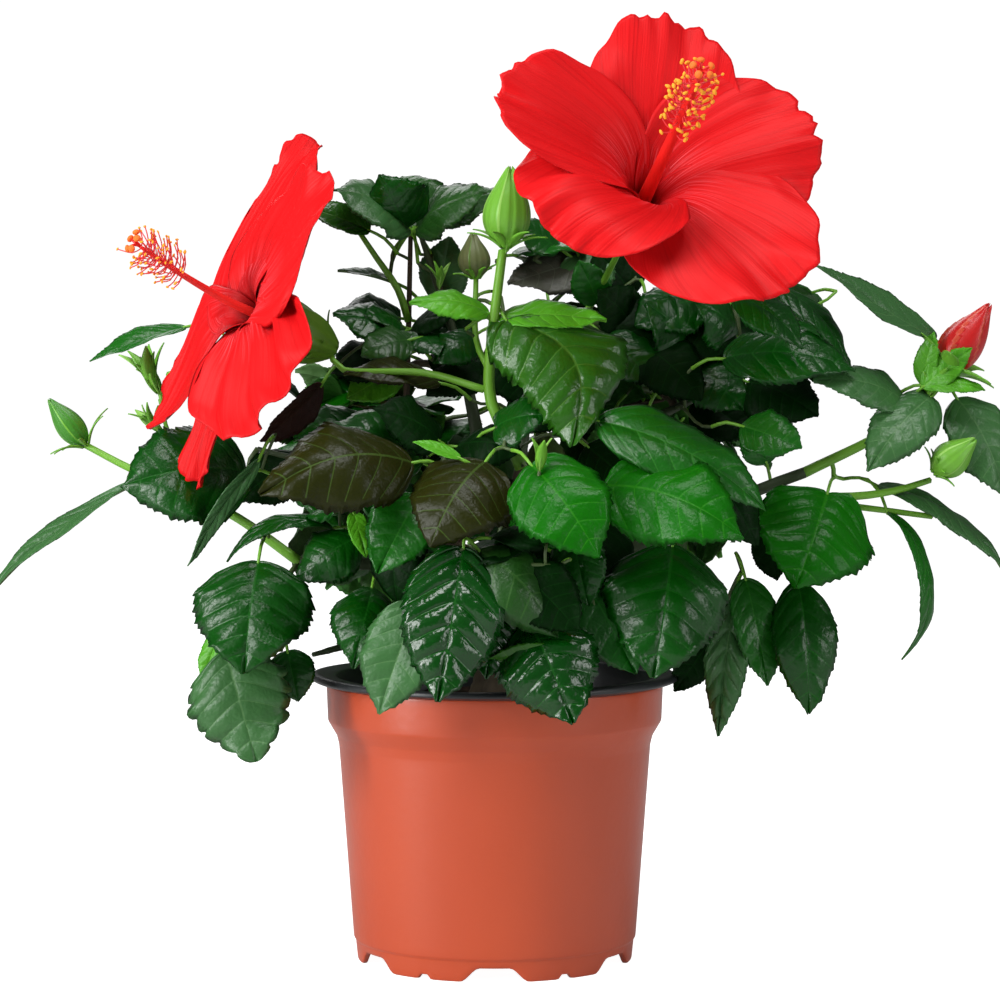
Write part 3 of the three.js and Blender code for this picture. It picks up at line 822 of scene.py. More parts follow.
def make_bark(bark, young):
    """The stem and its boughs, with the bark's relief."""
    rng = np.random.default_rng(11)
    sheaf = Sheaf()
    low, high = corners("stem")
    foot = np.array([0, 0, low[2] + 0.2])
    top = np.array([high[0] - STEM_TOP_RADIUS, 0, high[2] - 0.6])
    heights = np.linspace(0, 1, 9)
    stem = [np.array([top[0] * h * h, 0, foot[2] + (top[2] - foot[2]) * h]) for h in heights]
    girth = STEM_TOP_RADIUS + (STEM_MIDDLE - STEM_TOP_RADIUS) * (1 - heights)
    girth = girth + (STEM_FLARE - STEM_MIDDLE) * np.exp(-heights * 9)
    sheaf.add(*rough_tube(stem, girth, 40, 0.55, rng))
    for mass in MASSES:
        girth = np.array(BOUGH_GIRTH + (THICK_ENDS if mass in GREEN_ENDS else THIN_ENDS))
        path = bough_path(mass)
        path = np.concatenate([path[:-1:2], path[-1:]])
        points, triangles = rough_tube(path, girth, 20, 0.3, rng)
        along = triangles.max(axis=1) / len(points)
        sheaf.add(points, triangles, (along > YOUNG_WOOD).astype(int))
    replaced = ["stem"] + ["bough_" + mass for mass in MASSES]
    sheaf.make("bark_of_stem_and_boughs", [bark, young], "bark", replaced)


# ---------------------------------------------------------------- the crown


PETIOLE = 13.0
PETIOLE_STEP = 4.0
CROWN_MIDDLE = np.array([0, 0, 150.0])


def lead_leaves(twigs, sheaves):
    """The leading leaves, nearest to the stem first, each on a petiole from the nearest shoot."""
    entries = [(mass, entry) for mass, leaves in LEADING_LEAVES.items() for entry in leaves]
    entries.sort(key=lambda e: np.linalg.norm(place(e[0], e[1][0]) - CROWN_MIDDLE))
    for mass, (base, tip, width, face, tone, form, *sickle) in entries:
        base, tip = place(mass, base), place(mass, tip)
        heading = unit(unit(tip - base) + 0.35 * across_to(tip - base, face))
        axil = base - heading * PETIOLE - UP * 2
        stand = twigs.reach_to(axil, heading + UP * 0.3)
        inside = base + unit(tip - base) * 1.2
        path = smooth_path([twigs.points[stand], (axil + base) / 2 + UP * 1.5, inside], PETIOLE_STEP)
        twigs.bear(twigs.grow(path, stand, "petiole"))
        shape = SCALLOPED_LEAF if form == "scalloped" else FINE_LEAF
        add_leaf(sheaves[mass], shape, base, tip, width, face, tone, form, *sickle)


# Inside the crown a third of the leaves take the shade tone, which is painted shade. Outside, none do.
INNER_TONES = ("shade", "shade", "deep", "deep", "mid", "dusky")
OUTER_TONES = ("deep", "deep", "mid", "mid", "bright", "dusky", "bronze")

# The regions that the seeded shoots fill: a mass, how far the region's centre is from the mass's and its size
# as a share of the mass's, the number of shoots and of leaves on each, how far behind the region's centre the
# plane stands that the leaves stay behind (in front of it if negative), the tones that are dealt out and how
# much the leaves droop.
SEEDED = [
    ("back_left", (0, 0, 0), 1, 25, 5, -66, OUTER_TONES, 0.6),
    ("back_left", (14, -44, 14), 0.9, 16, 5, -26, OUTER_TONES, 0.4),
    ("back_right", (0, 0, 0), 1, 25, 5, -66, OUTER_TONES, 0.6),
    ("back_right", (-16, -48, 12), 0.9, 16, 5, -26, OUTER_TONES, 0.4),
    ("back_low", (0, 0, 0), 1, 14, 5, -66, OUTER_TONES, 0.9),
    ("back_low", (-4, -20, 66), 1, 14, 5, -40, OUTER_TONES, 0.5),
    ("back_low", (-30, -52, 26), 0.9, 8, 5, -30, OUTER_TONES, 0.6),
    ("back_low", (34, -54, 26), 0.9, 8, 5, -30, OUTER_TONES, 0.6),
    ("front_low", (0, 0, 0), 1, 6, 5, 16, INNER_TONES, 0.7),
    ("front_left", (0, 0, 0), 1, 8, 5, 14, INNER_TONES, 0.6),
    ("front_right", (0, 0, 0), 1, 9, 5, 12, INNER_TONES, 0.6),
    ("left_lower", (0, 0, 0), 1, 5, 4, 8, INNER_TONES, 0.9),
    ("right_lower", (0, 0, 0), 1, 5, 4, 8, INNER_TONES, 1.0),
    ("left_upper", (0, 0, 0), 1, 14, 5, 4, INNER_TONES, 0.4),
    ("right_upper", (0, 0, 0), 1, 16, 5, 0, INNER_TONES, 0.4),
    ("top_middle", (0, 0, 0), 1, 14, 5, 0, INNER_TONES, 0.3),
    ("top_middle", (-6, 36, -6), 0.9, 12, 5, -14, OUTER_TONES, 0.3),
    ("top_left", (0, 0, 0), 1, 2, 4, 8, INNER_TONES, 0.2),
    ("right_outer", (0, 0, 0), 1, 1, 3, 8, OUTER_TONES, 0.6),
]
SEEDED_FORMS = ("arched", "domed", "flat", "arched")
SEEDED_LENGTHS = (34, 54)
SEEDED_WIDTHS = (0.62, 0.8)       # as shares of the length
TURNS_TRIED = 9                   # how often a leaf that doesn't fit is turned on before it is left out


class Region:
    """Where seeded leaves may stand: in an egg that is told from a mass, and behind a plane across it."""

    def __init__(self, mass, shift, size, depth):
        self.centre, self.half = place(mass, shift), HALF[mass] * size
        self.front = self.centre[1] + depth

    def holds(self, point, slack):
        return np.sum(((point - self.centre) / self.half) ** 2) < slack

    def takes(self, base, tip):
        """Whether a leaf fits here and leaves the places where the sky shows free."""
        points = (tip, (base + tip) / 2, base)
        if any(in_window(point) for point in points) or min(point[1] for point in points) <= self.front:
            return False
        return self.holds(points[0], 1.0) and self.holds(points[1], 0.85)


def find_leaf(rng, region, stand, outward, droop, turn):
    """Turns on round a shoot until a leaf fits. Returns the turn, and the leaf's base, aim and length, or
    None if none does."""
    for attempt in range(TURNS_TRIED):
        turn += GOLDEN_TURN
        round_about = np.array([math.cos(turn), math.sin(turn), 0.25 * math.sin(turn * 1.7)])
        aim = unit(outward * 0.9 + round_about * 0.9 - UP * droop * rng.uniform(0.4, 1.2))
        length = rng.uniform(*SEEDED_LENGTHS)
        base = stand + aim * rng.uniform(7, 13) + UP * 2
        if region.takes(base, base + aim * length):
            return turn, (base, aim, length)
    return turn, None


def seeded_leaves(twigs, sheaves):
    """Shoots that reach into each region from what has grown, with leaves set round them by turns."""
    for number, (mass, shift, size, shoots, leaves, depth, tones, droop) in enumerate(SEEDED):
        rng = np.random.default_rng(100 + number)
        region = Region(mass, shift, size, depth)
        out_of_bough = unit(region.centre - bough_path(mass)[-1])
        below = np.array([0, 0, region.centre[2] - 60])
        for shoot in range(shoots):
            spread = unit(rng.normal(size=3) + out_of_bough * 0.4 + UP * 0.25)
            goal = region.centre + region.half * spread * rng.uniform(0.45, 0.72)
            goal[1] = max(goal[1], region.front + 6)
            twigs.reach_to(goal, spread + UP * 0.3)
            chain = twigs.chains[-1][0]
            tone = tones[rng.integers(len(tones))]
            turn = rng.uniform(0, 6.3)
            for leaf in range(leaves):
                share = 0.35 + 0.65 * (leaf + 1) / leaves
                at = chain[min(len(chain) - 1, int(len(chain) * share))]
                stand = twigs.points[at]
                outward = unit(stand - region.centre + spread * 12)
                turn, found = find_leaf(rng, region, stand, outward, droop, turn)
                if found is None:
                    continue
                base, aim, length = found
                tip = base + aim * length
                away = unit((base + tip) / 2 - below)
                face = unit(away * 0.8 + UP * 0.8 + rng.normal(size=3) * 0.25)
                own_tone = tone if rng.uniform() < 0.7 else tones[rng.integers(len(tones))]
                form = SEEDED_FORMS[rng.integers(len(SEEDED_FORMS))]
                path = smooth_path([stand, (stand + base) / 2 + UP, base + aim], PETIOLE_STEP)
                twigs.bear(twigs.grow(path, at, "petiole"))
                width = length * rng.uniform(*SEEDED_WIDTHS)
                shape = FINE_LEAF if leaf % 3 == 0 and mass.startswith("back") else PLAIN_LEAF
                add_leaf(sheaves[mass], shape, base, tip, width, face, own_tone, form,
                         rng.uniform(-0.04, 0.04), rng.uniform(-0.5, 0.5))


def make_crown(stem_materials, petal_skin, stamen_skins, green_skins):
    """All that grows from the boughs, whose own chains only bear the rest and aren't made again."""
    twigs = Twigs()
    for mass in MASSES:
        path = bough_path(mass)
        twigs.grow(path, twigs.root(path[0]), "bough")
    for mass, (count, offsets) in GREEN_ENDS.items():
        end = twigs.nearest(bough_path(mass)[-1])
        path = smooth_path([place(mass, offset) for offset in offsets[count - 1:]], Twigs.STEP)
        twigs.bear(twigs.grow(path, end, "green", (2.1, 1.3)))
    for mass, offsets, kind, girth in CLEAR_SHOOTS.values():
        points = [place(mass, offset) for offset in offsets]
        foot = twigs.reach_to(points[0], points[1] - points[0])
        twigs.bear(twigs.grow(smooth_path(points, Twigs.STEP), foot, kind, girth))
    make_blooms(twigs, petal_skin, stamen_skins, green_skins)
    sheaves = {mass: Sheaf() for mass in MASSES}
    lead_leaves(twigs, sheaves)
    seeded_leaves(twigs, sheaves)
    twigs.chains = [chain for chain in twigs.chains if chain[1] != "bough"]
    twigs.make().make("twigs_and_petioles", stem_materials, "bark")
    for mass in MASSES:
        sheaves[mass].make("leaves_" + mass, LEAF_MATERIALS, "foliage", ["foliage_" + mass])


# ---------------------------------------------------------------- blooms


PETAL_THICKNESS = 0.35
PETAL_ROWS, PETAL_COLUMNS = 46, 52
CLAW_DEPTH = 15.0         # how deep behind the throat the petals and the column start
CLAW_RADIUS = 3.6

# For each petal: its turn round the bloom at claw and tip, its length, its widths at a quarter, half, three
# quarters and the whole of that, how it opens from the bloom's axis, how far its two edges stand forward, and
# its ruffles. Where they differ from the usual: over which part of its length it opens, how round its end is,
# its curl, its fold along the middle, its pleats, and how far it stands back behind the others.
RIGHT_PETALS = [
    {"turn": (157, 156), "length": 80, "widths": (26, 48, 60, 66), "opens": (14, 72), "edges": (5, 4),
     "ruffle": 1.0},
    {"turn": (84, 79), "length": 76, "widths": (30, 56, 74, 80), "opens": (12, 68), "edges": (-4, -4),
     "ruffle": 1.5},
    {"turn": (12, 10), "length": 76, "widths": (34, 60, 80, 90), "opens": (12, 70), "edges": (1, -11),
     "ruffle": 1.4},
    {"turn": (301, 298), "length": 83, "widths": (32, 64, 94, 100), "opens": (12, 72), "edges": (3, -4),
     "ruffle": 2.3, "over": (0.04, 0.5)},
    {"turn": (222, 208), "length": 77, "widths": (34, 60, 84, 94), "opens": (12, 60), "edges": (0, -12),
     "ruffle": 1.4, "curl": 60},
]
LEFT_PETALS = [
    {"turn": (151, 98), "length": 77, "widths": (46, 62, 30, 8), "opens": (12, 91), "edges": (2, -6),
     "ruffle": 1.8, "round": 0.14, "over": (0.06, 0.27)},
    {"turn": (60, 60), "length": 63, "widths": (38, 74, 80, 68), "opens": (12, 91), "edges": (6, 2),
     "ruffle": 2.2, "curl": 5, "over": (0.06, 0.28)},
    {"turn": (-18, -44), "length": 60, "widths": (32, 58, 75, 80), "opens": (12, 96), "edges": (-3, 5),
     "ruffle": 1.0, "pleat": 2.5, "round": 0.26, "over": (0.06, 0.30)},
    {"turn": (-97, -96), "length": 71, "widths": (16, 22, 20, 24), "opens": (12, 92), "edges": (-2, 2),
     "ruffle": 1.2, "fold": 0.10, "round": 0.10, "over": (0.06, 0.26), "behind": 6},
    {"turn": (-152, -137), "length": 77, "widths": (28, 60, 32, 5), "opens": (12, 98), "edges": (2, 0),
     "ruffle": 0.8, "fold": 0.10, "round": 0.10, "curl": -18, "over": (0.06, 0.28)},
]


def bloom_axes(facing):
    """The axis of a bloom, and the two directions across it: to the right and up for who looks into it."""
    axis = unit(facing)
    right = unit(np.cross(UP, axis))
    return axis, right, np.cross(axis, right)


def petal_lines(spec):
    """Shares of a petal's length, and there how far forward and how far out it stands, and its width."""
    s = np.linspace(0, 1, 200)
    start, end = spec["opens"]
    opens = start + (end - start) * smooth_step(*spec.get("over", (0.04, 0.6)), s)
    opening = np.radians(opens + spec.get("curl", 10) * smooth_step(0.55, 1, s))
    step = spec["length"] / (len(s) - 1)
    forward = -CLAW_DEPTH + np.concatenate([[0], np.cumsum(np.cos(opening[1:]) * step)])
    out = CLAW_RADIUS + np.concatenate([[0], np.cumsum(np.sin(opening[1:]) * step)])
    quarter, middle, wide, last = spec["widths"]
    width = np.interp(s, (0, 0.12, 0.25, 0.5, 0.75, 1), (8, 0.62 * quarter, quarter, middle, wide, last))
    return s, forward, out, np.convolve(np.pad(width, 15, "edge"), np.ones(31) / 31, "valid")


def petal_sheet(spec, rng):
    """A petal's upper side as a grid: how far forward on the bloom's axis, how far out from it, the turn
    round it, and the places along and across the petal. Its lines fan out, and the outer ones end sooner."""
    u = np.linspace(0, 1, PETAL_ROWS)[:, None]
    v = np.linspace(-1, 1, PETAL_COLUMNS)[None, :]
    s, forward_line, out_line, width_line = petal_lines(spec)
    p = u * (1 - spec.get("round", 0.40) * np.abs(v) ** 3.4)
    forward = np.interp(p, s, forward_line)
    out = np.interp(p, s, out_line)
    away = np.interp(p, s, width_line) / 2 * v
    margin = np.maximum(np.abs(v) ** 6 * smooth_step(0.3, 0.7, u), smooth_step(0.72, 1, u) * np.ones_like(v))
    round_petal = np.arctan2(away / 26, p - 0.4)
    phase = rng.uniform(0, 6.3, 5)

    def waves(*sizes):
        return sum(size * np.sin(count * round_petal + phase[number]) for size, count, number in sizes)

    ruffle = spec["ruffle"] * margin * waves((1, 4, 0), (0.7, 7, 1))
    frill = margin ** 3 * waves((0.9, 9, 2), (0.6, 17, 3), (0.3, 31, 4))
    broad = np.sin(v * 13 + phase[0] + 1.2 * np.sin(2.5 * u))
    pleats = spec.get("pleat", 0.35) * smooth_step(0.1, 0.5, u) * broad
    pleats = pleats + 0.16 * smooth_step(0.15, 0.5, u) * np.sin(v * 37 + phase[2])
    ccw, cw = spec["edges"]
    edges = smooth_step(0.15, 0.6, u) * (ccw * smooth_step(0, 1.15, v) + cw * smooth_step(0, 1.15, -v))
    fold = 2 * spec.get("fold", 0)
    behind = spec.get("behind", 0) * smooth_step(0.15, 0.45, u)
    rise = forward + edges + ruffle + pleats + fold * np.abs(away) + 0.8 * frill - behind
    turn_base, turn_tip = spec["turn"]
    turn = np.radians(turn_base + (turn_tip - turn_base) * smooth_step(0.1, 0.9, u))
    narrow = away * math.cos(math.atan(fold))
    return rise, out + frill, turn + narrow / np.maximum(out, 3.0), u, v


def add_petal(sheaf, origin, facing, spec, place_in_map, rng):
    """One petal as a thin closed sheet. place_in_map is its fifth of the texture map."""
    rise, reach, turn, u, v = petal_sheet(spec, rng)
    axes = bloom_axes(facing)
    top = round_axis(origin, axes, rise, reach, turn)
    normal = np.cross(np.gradient(top, axis=1), np.gradient(top, axis=0))
    normal = normal / np.maximum(np.linalg.norm(normal, axis=-1, keepdims=True), 1e-9)
    if np.mean(normal @ axes[0]) < 0:
        normal = -normal
    across_map = (place_in_map + 0.5 + 0.46 * (v + 0 * u)) / 5
    upper = np.stack([across_map, 0.505 + 0.49 * (u + 0 * v)], -1)
    lower = np.stack([across_map, 0.005 + 0.49 * (u + 0 * v)], -1)
    triangles = np.concatenate(sheet_triangles(*rise.shape, turned=True))
    sheaf.add(sheet_points(top, top - normal * PETAL_THICKNESS), triangles, 0, sheet_points(upper, lower))


def ball(centre, radii, axis, sides, rows):
    """A small closed egg: radii are along the axis and across it."""
    axis = unit(axis)
    side, other = square_pair(axis, [0.3, 0.5, 0.8])
    lat = np.linspace(-1.15, 1.15, rows)[:, None]
    lon = ring_turns(sides)[None, :]
    local = np.stack([np.sin(lat) + 0 * lon, np.cos(lat) * np.cos(lon), np.cos(lat) * np.sin(lon)], -1)
    local = np.concatenate([local.reshape(-1, 3), [[-1.02, 0, 0], [1.02, 0, 0]]])
    local = local * np.array([radii[0], radii[1], radii[1]])
    return centre + local @ np.stack([axis, side, other]), capped_triangles(rows, sides)


# The slots of the stamens' piece.
COLUMN, FILAMENT, ANTHER, STIGMA = range(4)
THREADS = 84
THREAD_RADIUS = 0.24
THREAD_TURN_SPREAD = 0.3
STIGMAS = 5


def add_column(sheaf, origin, facing, column, rng):
    """The column, the threads of its stamens with their anthers, and the stigmas at its end."""
    length, anther_size = column["length"], column["anther"]
    axis, right, up = bloom_axes(facing)
    s = np.linspace(-CLAW_DEPTH / length, 1, 26)[:, None]
    path = origin + axis * (s * length) + up * column["lift"] * np.clip(s, 0, 1) ** 1.5
    radius = column["girth"] * np.interp(s[:, 0], (-0.3, 0, 0.55, 0.9, 1), (3.0, 2.6, 1.9, 1.4, 1.0))
    sheaf.add(*tube(path, radius, 14), COLUMN)
    along = np.gradient(path, axis=0)
    for thread in range(THREADS):
        share = 0.52 + 0.45 * ((thread + 0.5) / THREADS) ** 0.85
        at = int(np.interp(share, s[:, 0], np.arange(len(s))))
        turn = thread * GOLDEN_TURN + rng.uniform(-THREAD_TURN_SPREAD, THREAD_TURN_SPREAD)
        outward = right * math.cos(turn) + up * math.sin(turn)
        forward = unit(along[at])
        reach = rng.uniform(*column["threads"])
        start = path[at] + forward * rng.uniform(0, 2)
        middle = start + outward * reach * 0.55 + forward * reach * 0.12
        end = start + outward * reach * 0.95 + forward * reach * rng.uniform(0.3, 0.6)
        end = end + UP * rng.uniform(0, 1.2)
        sheaf.add(*tube(smooth_path([start, middle, end], 2.2), THREAD_RADIUS, 5), FILAMENT)
        size = anther_size * rng.uniform(0.8, 1.15)
        heading = np.cross(forward, outward) + rng.normal(size=3) * 0.5
        sheaf.add(*ball(end, (size, size * 0.62), heading, 6, 4), ANTHER)
    tip, ahead = path[-1], unit(along[-1])
    for branch in range(STIGMAS):
        turn = math.radians(18) + 2 * math.pi * branch / STIGMAS
        outward = right * math.cos(turn) + up * math.sin(turn)
        end = tip + ahead * 3.4 + outward * 3.6
        sheaf.add(*tube(smooth_path([tip, tip + ahead * 2.4 + outward, end], 1.0), 0.5, 6), COLUMN)
        sheaf.add(*ball(end, (1.0, 1.5), outward + ahead, 9, 5), STIGMA)


# The slots of the green flower parts' piece.
BUD_GREEN, BUD_RIDGE, BUD_DUSKY, BUD_RED, BUD_RED_EDGE, BUD_OLIVE, BUD_LEAF = range(7)
SEPALS = 5
BRACTS = 7
BUD_ROWS = 30


def add_bud(sheaf, base, tip, radius, skin, ridge, spiral=0.0, point=1.0, depth=0.08):
    """A closed bud: an egg with a sharp rib down each sepal, or spiral folds where the petals show."""
    axis = unit(tip - base)
    sides = SEPALS * 12
    u = np.linspace(0, 1, BUD_ROWS)[:, None]
    turn = ring_turns(sides)[None, :]
    girth = np.sin(math.pi * u ** 0.82) ** 0.78 * (1 - 0.18 * u) ** point + 0.03
    girth = girth + 0.04 * smooth_step(0.9, 1, u)
    share = (turn * SEPALS / (2 * math.pi) + spiral * u) % 1
    if spiral:
        relief = depth * (share - 0.5)
    else:
        seam = np.exp(-(np.minimum(share, 1 - share) / 0.05) ** 2)
        relief = depth * (np.exp(-((share - 0.5) / 0.08) ** 2) - 0.8 * seam)
    length = np.linalg.norm(tip - base)
    points_up = (0.5 - np.abs(share - 0.5)) * 2 * smooth_step(0.75, 1, u) * radius * 0.2
    axes = (axis, *square_pair(axis, [0.2, -0.9, 0.3]))
    forward, out = u * length * 0.94 + points_up, radius * girth * (1 + relief)
    points = round_axis(base, axes, forward, out, turn + 0 * u)
    cell = np.broadcast_to((share[:-1] + share[1:]) / 2, (BUD_ROWS - 1, sides))
    # On a sepal bud the crest of each rib, and on a spiral bud the outer edge of each fold, takes the lighter
    # colour: painted highlight where the crests catch the light.
    lit = (cell > 0.84) if spiral else (np.abs(cell - 0.5) < 0.07)
    slots = np.concatenate([np.repeat(np.where(lit, ridge, skin).ravel(), 2), np.full(2 * sides, skin)])
    points = np.concatenate([points.reshape(-1, 3), [base - axis * 0.4, base + axis * length * 0.9]])
    sheaf.add(points, capped_triangles(BUD_ROWS, sides), slots)


def blade(sheaf, base, tip, width, face, bend, slot):
    """A slim pointed bract or sepal as a thin closed sheet, bent towards face."""
    axis = unit(tip - base)
    normal = across_to(axis, face)
    side = np.cross(axis, normal)
    length = np.linalg.norm(tip - base)
    u = np.linspace(0, 1, 12)[:, None]
    v = np.linspace(-1, 1, 5)[None, :]
    half = width / 2 * (np.sin(math.pi * (0.12 + 0.86 * u) ** 0.8) + 0.03)
    lift = bend * length * 4 * u * (1 - u) + 0.22 * np.abs(v) * half
    spine = base + axis * (u * length + 0 * v)[..., None]
    top = spine + side * (v * half)[..., None] + normal * lift[..., None]
    sheaf.add(sheet_points(top, top - normal * 0.5), np.concatenate(sheet_triangles(*lift.shape)), slot)


def add_bracts(sheaf, base, axis, length, spread, width, slot, rng):
    """The ring of slim bracts under a bud or a calyx, spread from its axis."""
    axis = unit(axis)
    side, other = square_pair(axis, [0.4, 0.3, 0.8])
    for bract in range(BRACTS):
        turn = 2 * math.pi * (bract + rng.uniform(-0.15, 0.15)) / BRACTS
        outward = side * math.cos(turn) + other * math.sin(turn)
        heading = unit(axis * math.cos(spread) + outward * math.sin(spread) + rng.normal(size=3) * 0.08)
        start = base + outward * 1.6
        end = start + heading * length * rng.uniform(0.8, 1.15)
        blade(sheaf, start, end, width, axis - outward * 0.3, 0.1, slot)


def add_calyx(sheaf, throat, facing, cup, rng):
    """The green cup behind a bloom, with a lobe for each petal, and the bracts below it. Returns its foot."""
    axis, length = unit(facing), cup["length"]
    base = throat - axis * cup["behind"]
    rows, sides = 16, 50
    u = np.linspace(0, 1, rows)[:, None]
    turn = ring_turns(sides)[None, :]
    lobe = np.abs(np.cos(SEPALS / 2 * turn))
    reach = u * length * (0.66 + 0.34 * lobe ** 1.3)
    swell = 0.34 + 0.66 * np.sin(math.pi / 2 * np.clip(u * 1.5, 0, 1)) + 0.12 * u * lobe
    girth = cup["radius"] * swell * (1 + 0.05 * np.cos(2 * SEPALS * turn))
    axes = (axis, *square_pair(axis, UP))
    grids = [round_axis(base, axes, reach + lift, radius, turn + 0 * u)
             for radius, lift in ((girth, 0.0), (girth - 0.7, 0.35))]
    index = np.arange(rows * sides).reshape(rows, sides)
    inside = index + rows * sides
    parts = [grid_triangles(index, True), grid_triangles(inside, True)[:, ::-1],
             grid_triangles(np.stack([index[-1], inside[-1]]), True),
             grid_triangles(np.stack([inside[0], index[0]]), True)]
    sheaf.add(np.concatenate(grids).reshape(-1, 3), np.concatenate(parts), cup["skin"])
    add_bracts(sheaf, base, axis, length * 0.45, 0.75, 2.6, cup["skin"], rng)
    return base


# The blooms, by their node. The throat is told from the centre of the node's box, and the points of the stalk
# from the centre of a mass. threads is how far the stamens' threads reach.
BLOOMS = {
    "bloom_right": {
        "throat": (-7.5, 13.6, -11.0), "facing": (0.24, -0.8, 0.55), "petals": RIGHT_PETALS,
        "column": {"length": 67, "lift": 2.0, "girth": 1.0, "anther": 1.15, "threads": (5.5, 9.0)},
        "cup": {"radius": 8.5, "length": 32, "behind": 35, "skin": BUD_GREEN},
        "stalk": ("top_middle", [(12, 12, -14), (20, 8, 0)]),
    },
    "bloom_left": {
        "throat": (5.0, 1.1, 1.0), "facing": (-0.83, -0.4, 0.39), "petals": LEFT_PETALS,
        "column": {"length": 42, "lift": 5.0, "girth": 0.62, "anther": 0.8, "threads": (6.0, 10.0)},
        "cup": {"radius": 10.0, "length": 31, "behind": 43, "skin": BUD_OLIVE},
        "stalk": ("top_middle", [(-24, -46, -37), (-46, -40, -31), (-76, -34, -30)]),
    },
}

# Each kind of bud: its skin, and the lighter colour of its crests, which is painted highlight.
BUD_SKINS = {"green": (BUD_GREEN, BUD_RIDGE), "dusky": (BUD_DUSKY, BUD_OLIVE), "red": (BUD_RED, BUD_RED_EDGE),
             "leaf": (BUD_LEAF, BUD_GREEN)}

# The buds: a mass, the offsets of base and tip from its centre, the radius, the kind of bud, and the length
# and width of its bracts.
BUDS = [
    ("top_middle", (-16, -46, 15), (-14, -47, 45), 9.0, "green", (14, 3.2)),
    ("top_middle", (-27, -26, 4), (-28, -27, 21), 6.2, "dusky", (9, 2.4)),
    ("left_outer", (14, -4, 21), (0, -6, 39), 5.4, "leaf", (14, 1.7)),
    ("right_outer", (2, -10, 30), (20, -14, 57), 8.4, "red", (21, 8.0)),
    ("right_outer", (-2, -20, -7), (13, -24, 6), 7.0, "green", (9, 2.6)),
]

# Tufts of young leaves: a mass, the offset of the foot, which way they grow, how many, and their length.
TUFTS = [
    ("left_upper", (-17, 4, 7), (-0.45, -0.1, 0.85), 12, 19),
    ("left_upper", (-16, 4, -8), (-0.7, -0.1, 0.6), 9, 13),
    ("front_low", (10, 12, 49), (0.1, -0.2, 1), 3, 13),
    ("top_left", (9, -14, -32), (0.1, -0.3, 1), 5, 15),
    ("right_outer", (-4, -12, 20), (0.4, -0.2, 0.8), 6, 16),
    ("top_middle", (-16, -46, 13), (0.1, -0.2, 0.5), 6, 13),
]


def make_bloom(name, bloom, twigs, green, petal_skin, stamen_skins, rng):
    """A bloom's petals and stamens, its calyx, which goes into green, and its stalk."""
    throat, facing = centre_of(name) + CROWN_RISE + bloom["throat"], bloom["facing"]
    corolla, stamens = Sheaf(), Sheaf()
    for number, spec in enumerate(bloom["petals"]):
        add_petal(corolla, throat, facing, spec, number, rng)
    corolla.make("petals_of_" + name, [petal_skin], "petals", [name])
    add_column(stamens, throat, facing, bloom["column"], rng)
    stamens.make("stamens_of_" + name, stamen_skins, "petals")
    base = add_calyx(green, throat, facing, bloom["cup"], rng)
    mass, offsets = bloom["stalk"]
    points = [place(mass, offset) for offset in offsets] + [base + unit(facing) * 2]
    foot = twigs.reach_to(points[0], points[1] - points[0])
    path = smooth_path([twigs.points[foot]] + points[1:], Twigs.STEP)
    twigs.bear(twigs.grow(path, foot, "green", (1.5, 1.1)))


def make_blooms(twigs, petal_skin, stamen_skins, green_skins):
    """The blooms, the buds and the tufts of young leaves."""
    rng = np.random.default_rng(21)
    green = Sheaf()
    for name, bloom in BLOOMS.items():
        make_bloom(name, bloom, twigs, green, petal_skin, stamen_skins, rng)
    for mass, base, tip, radius, kind, (bract_length, bract_width) in BUDS:
        base, tip = place(mass, base), place(mass, tip)
        if kind == "red":
            add_bud(green, base, tip, radius, *BUD_SKINS["red"], 0.8, 1.2, 0.16)
            cup = base - unit(tip - base) * 3, base + (tip - base) * 0.35
            add_bud(green, *cup, radius * 0.8, *BUD_SKINS["green"])
        else:
            add_bud(green, base, tip, radius, *BUD_SKINS[kind])
        add_bracts(green, base, tip - base, bract_length, 1.15, bract_width, BUD_GREEN, rng)
    for mass, foot, heading, count, length in TUFTS:
        foot, heading = place(mass, foot), unit(heading)
        twigs.bear(twigs.reach_to(foot, heading))
        for leaf in range(count):
            turn = leaf * GOLDEN_TURN
            spread = 0.25 + 0.5 * leaf / count
            outward = np.array([math.cos(turn), math.sin(turn), 0.1])
            aim = unit(heading * math.cos(spread) + outward * math.sin(spread))
            size = length * rng.uniform(0.6, 1.1)
            base = foot + heading * leaf * 0.4
            slot = BUD_GREEN if leaf % 3 else BUD_RIDGE
            blade(green, base, base + aim * size, size * 0.3, heading - outward * 0.5, 0.08, slot)
    green.make("calyces_buds_and_tufts", green_skins, "foliage")


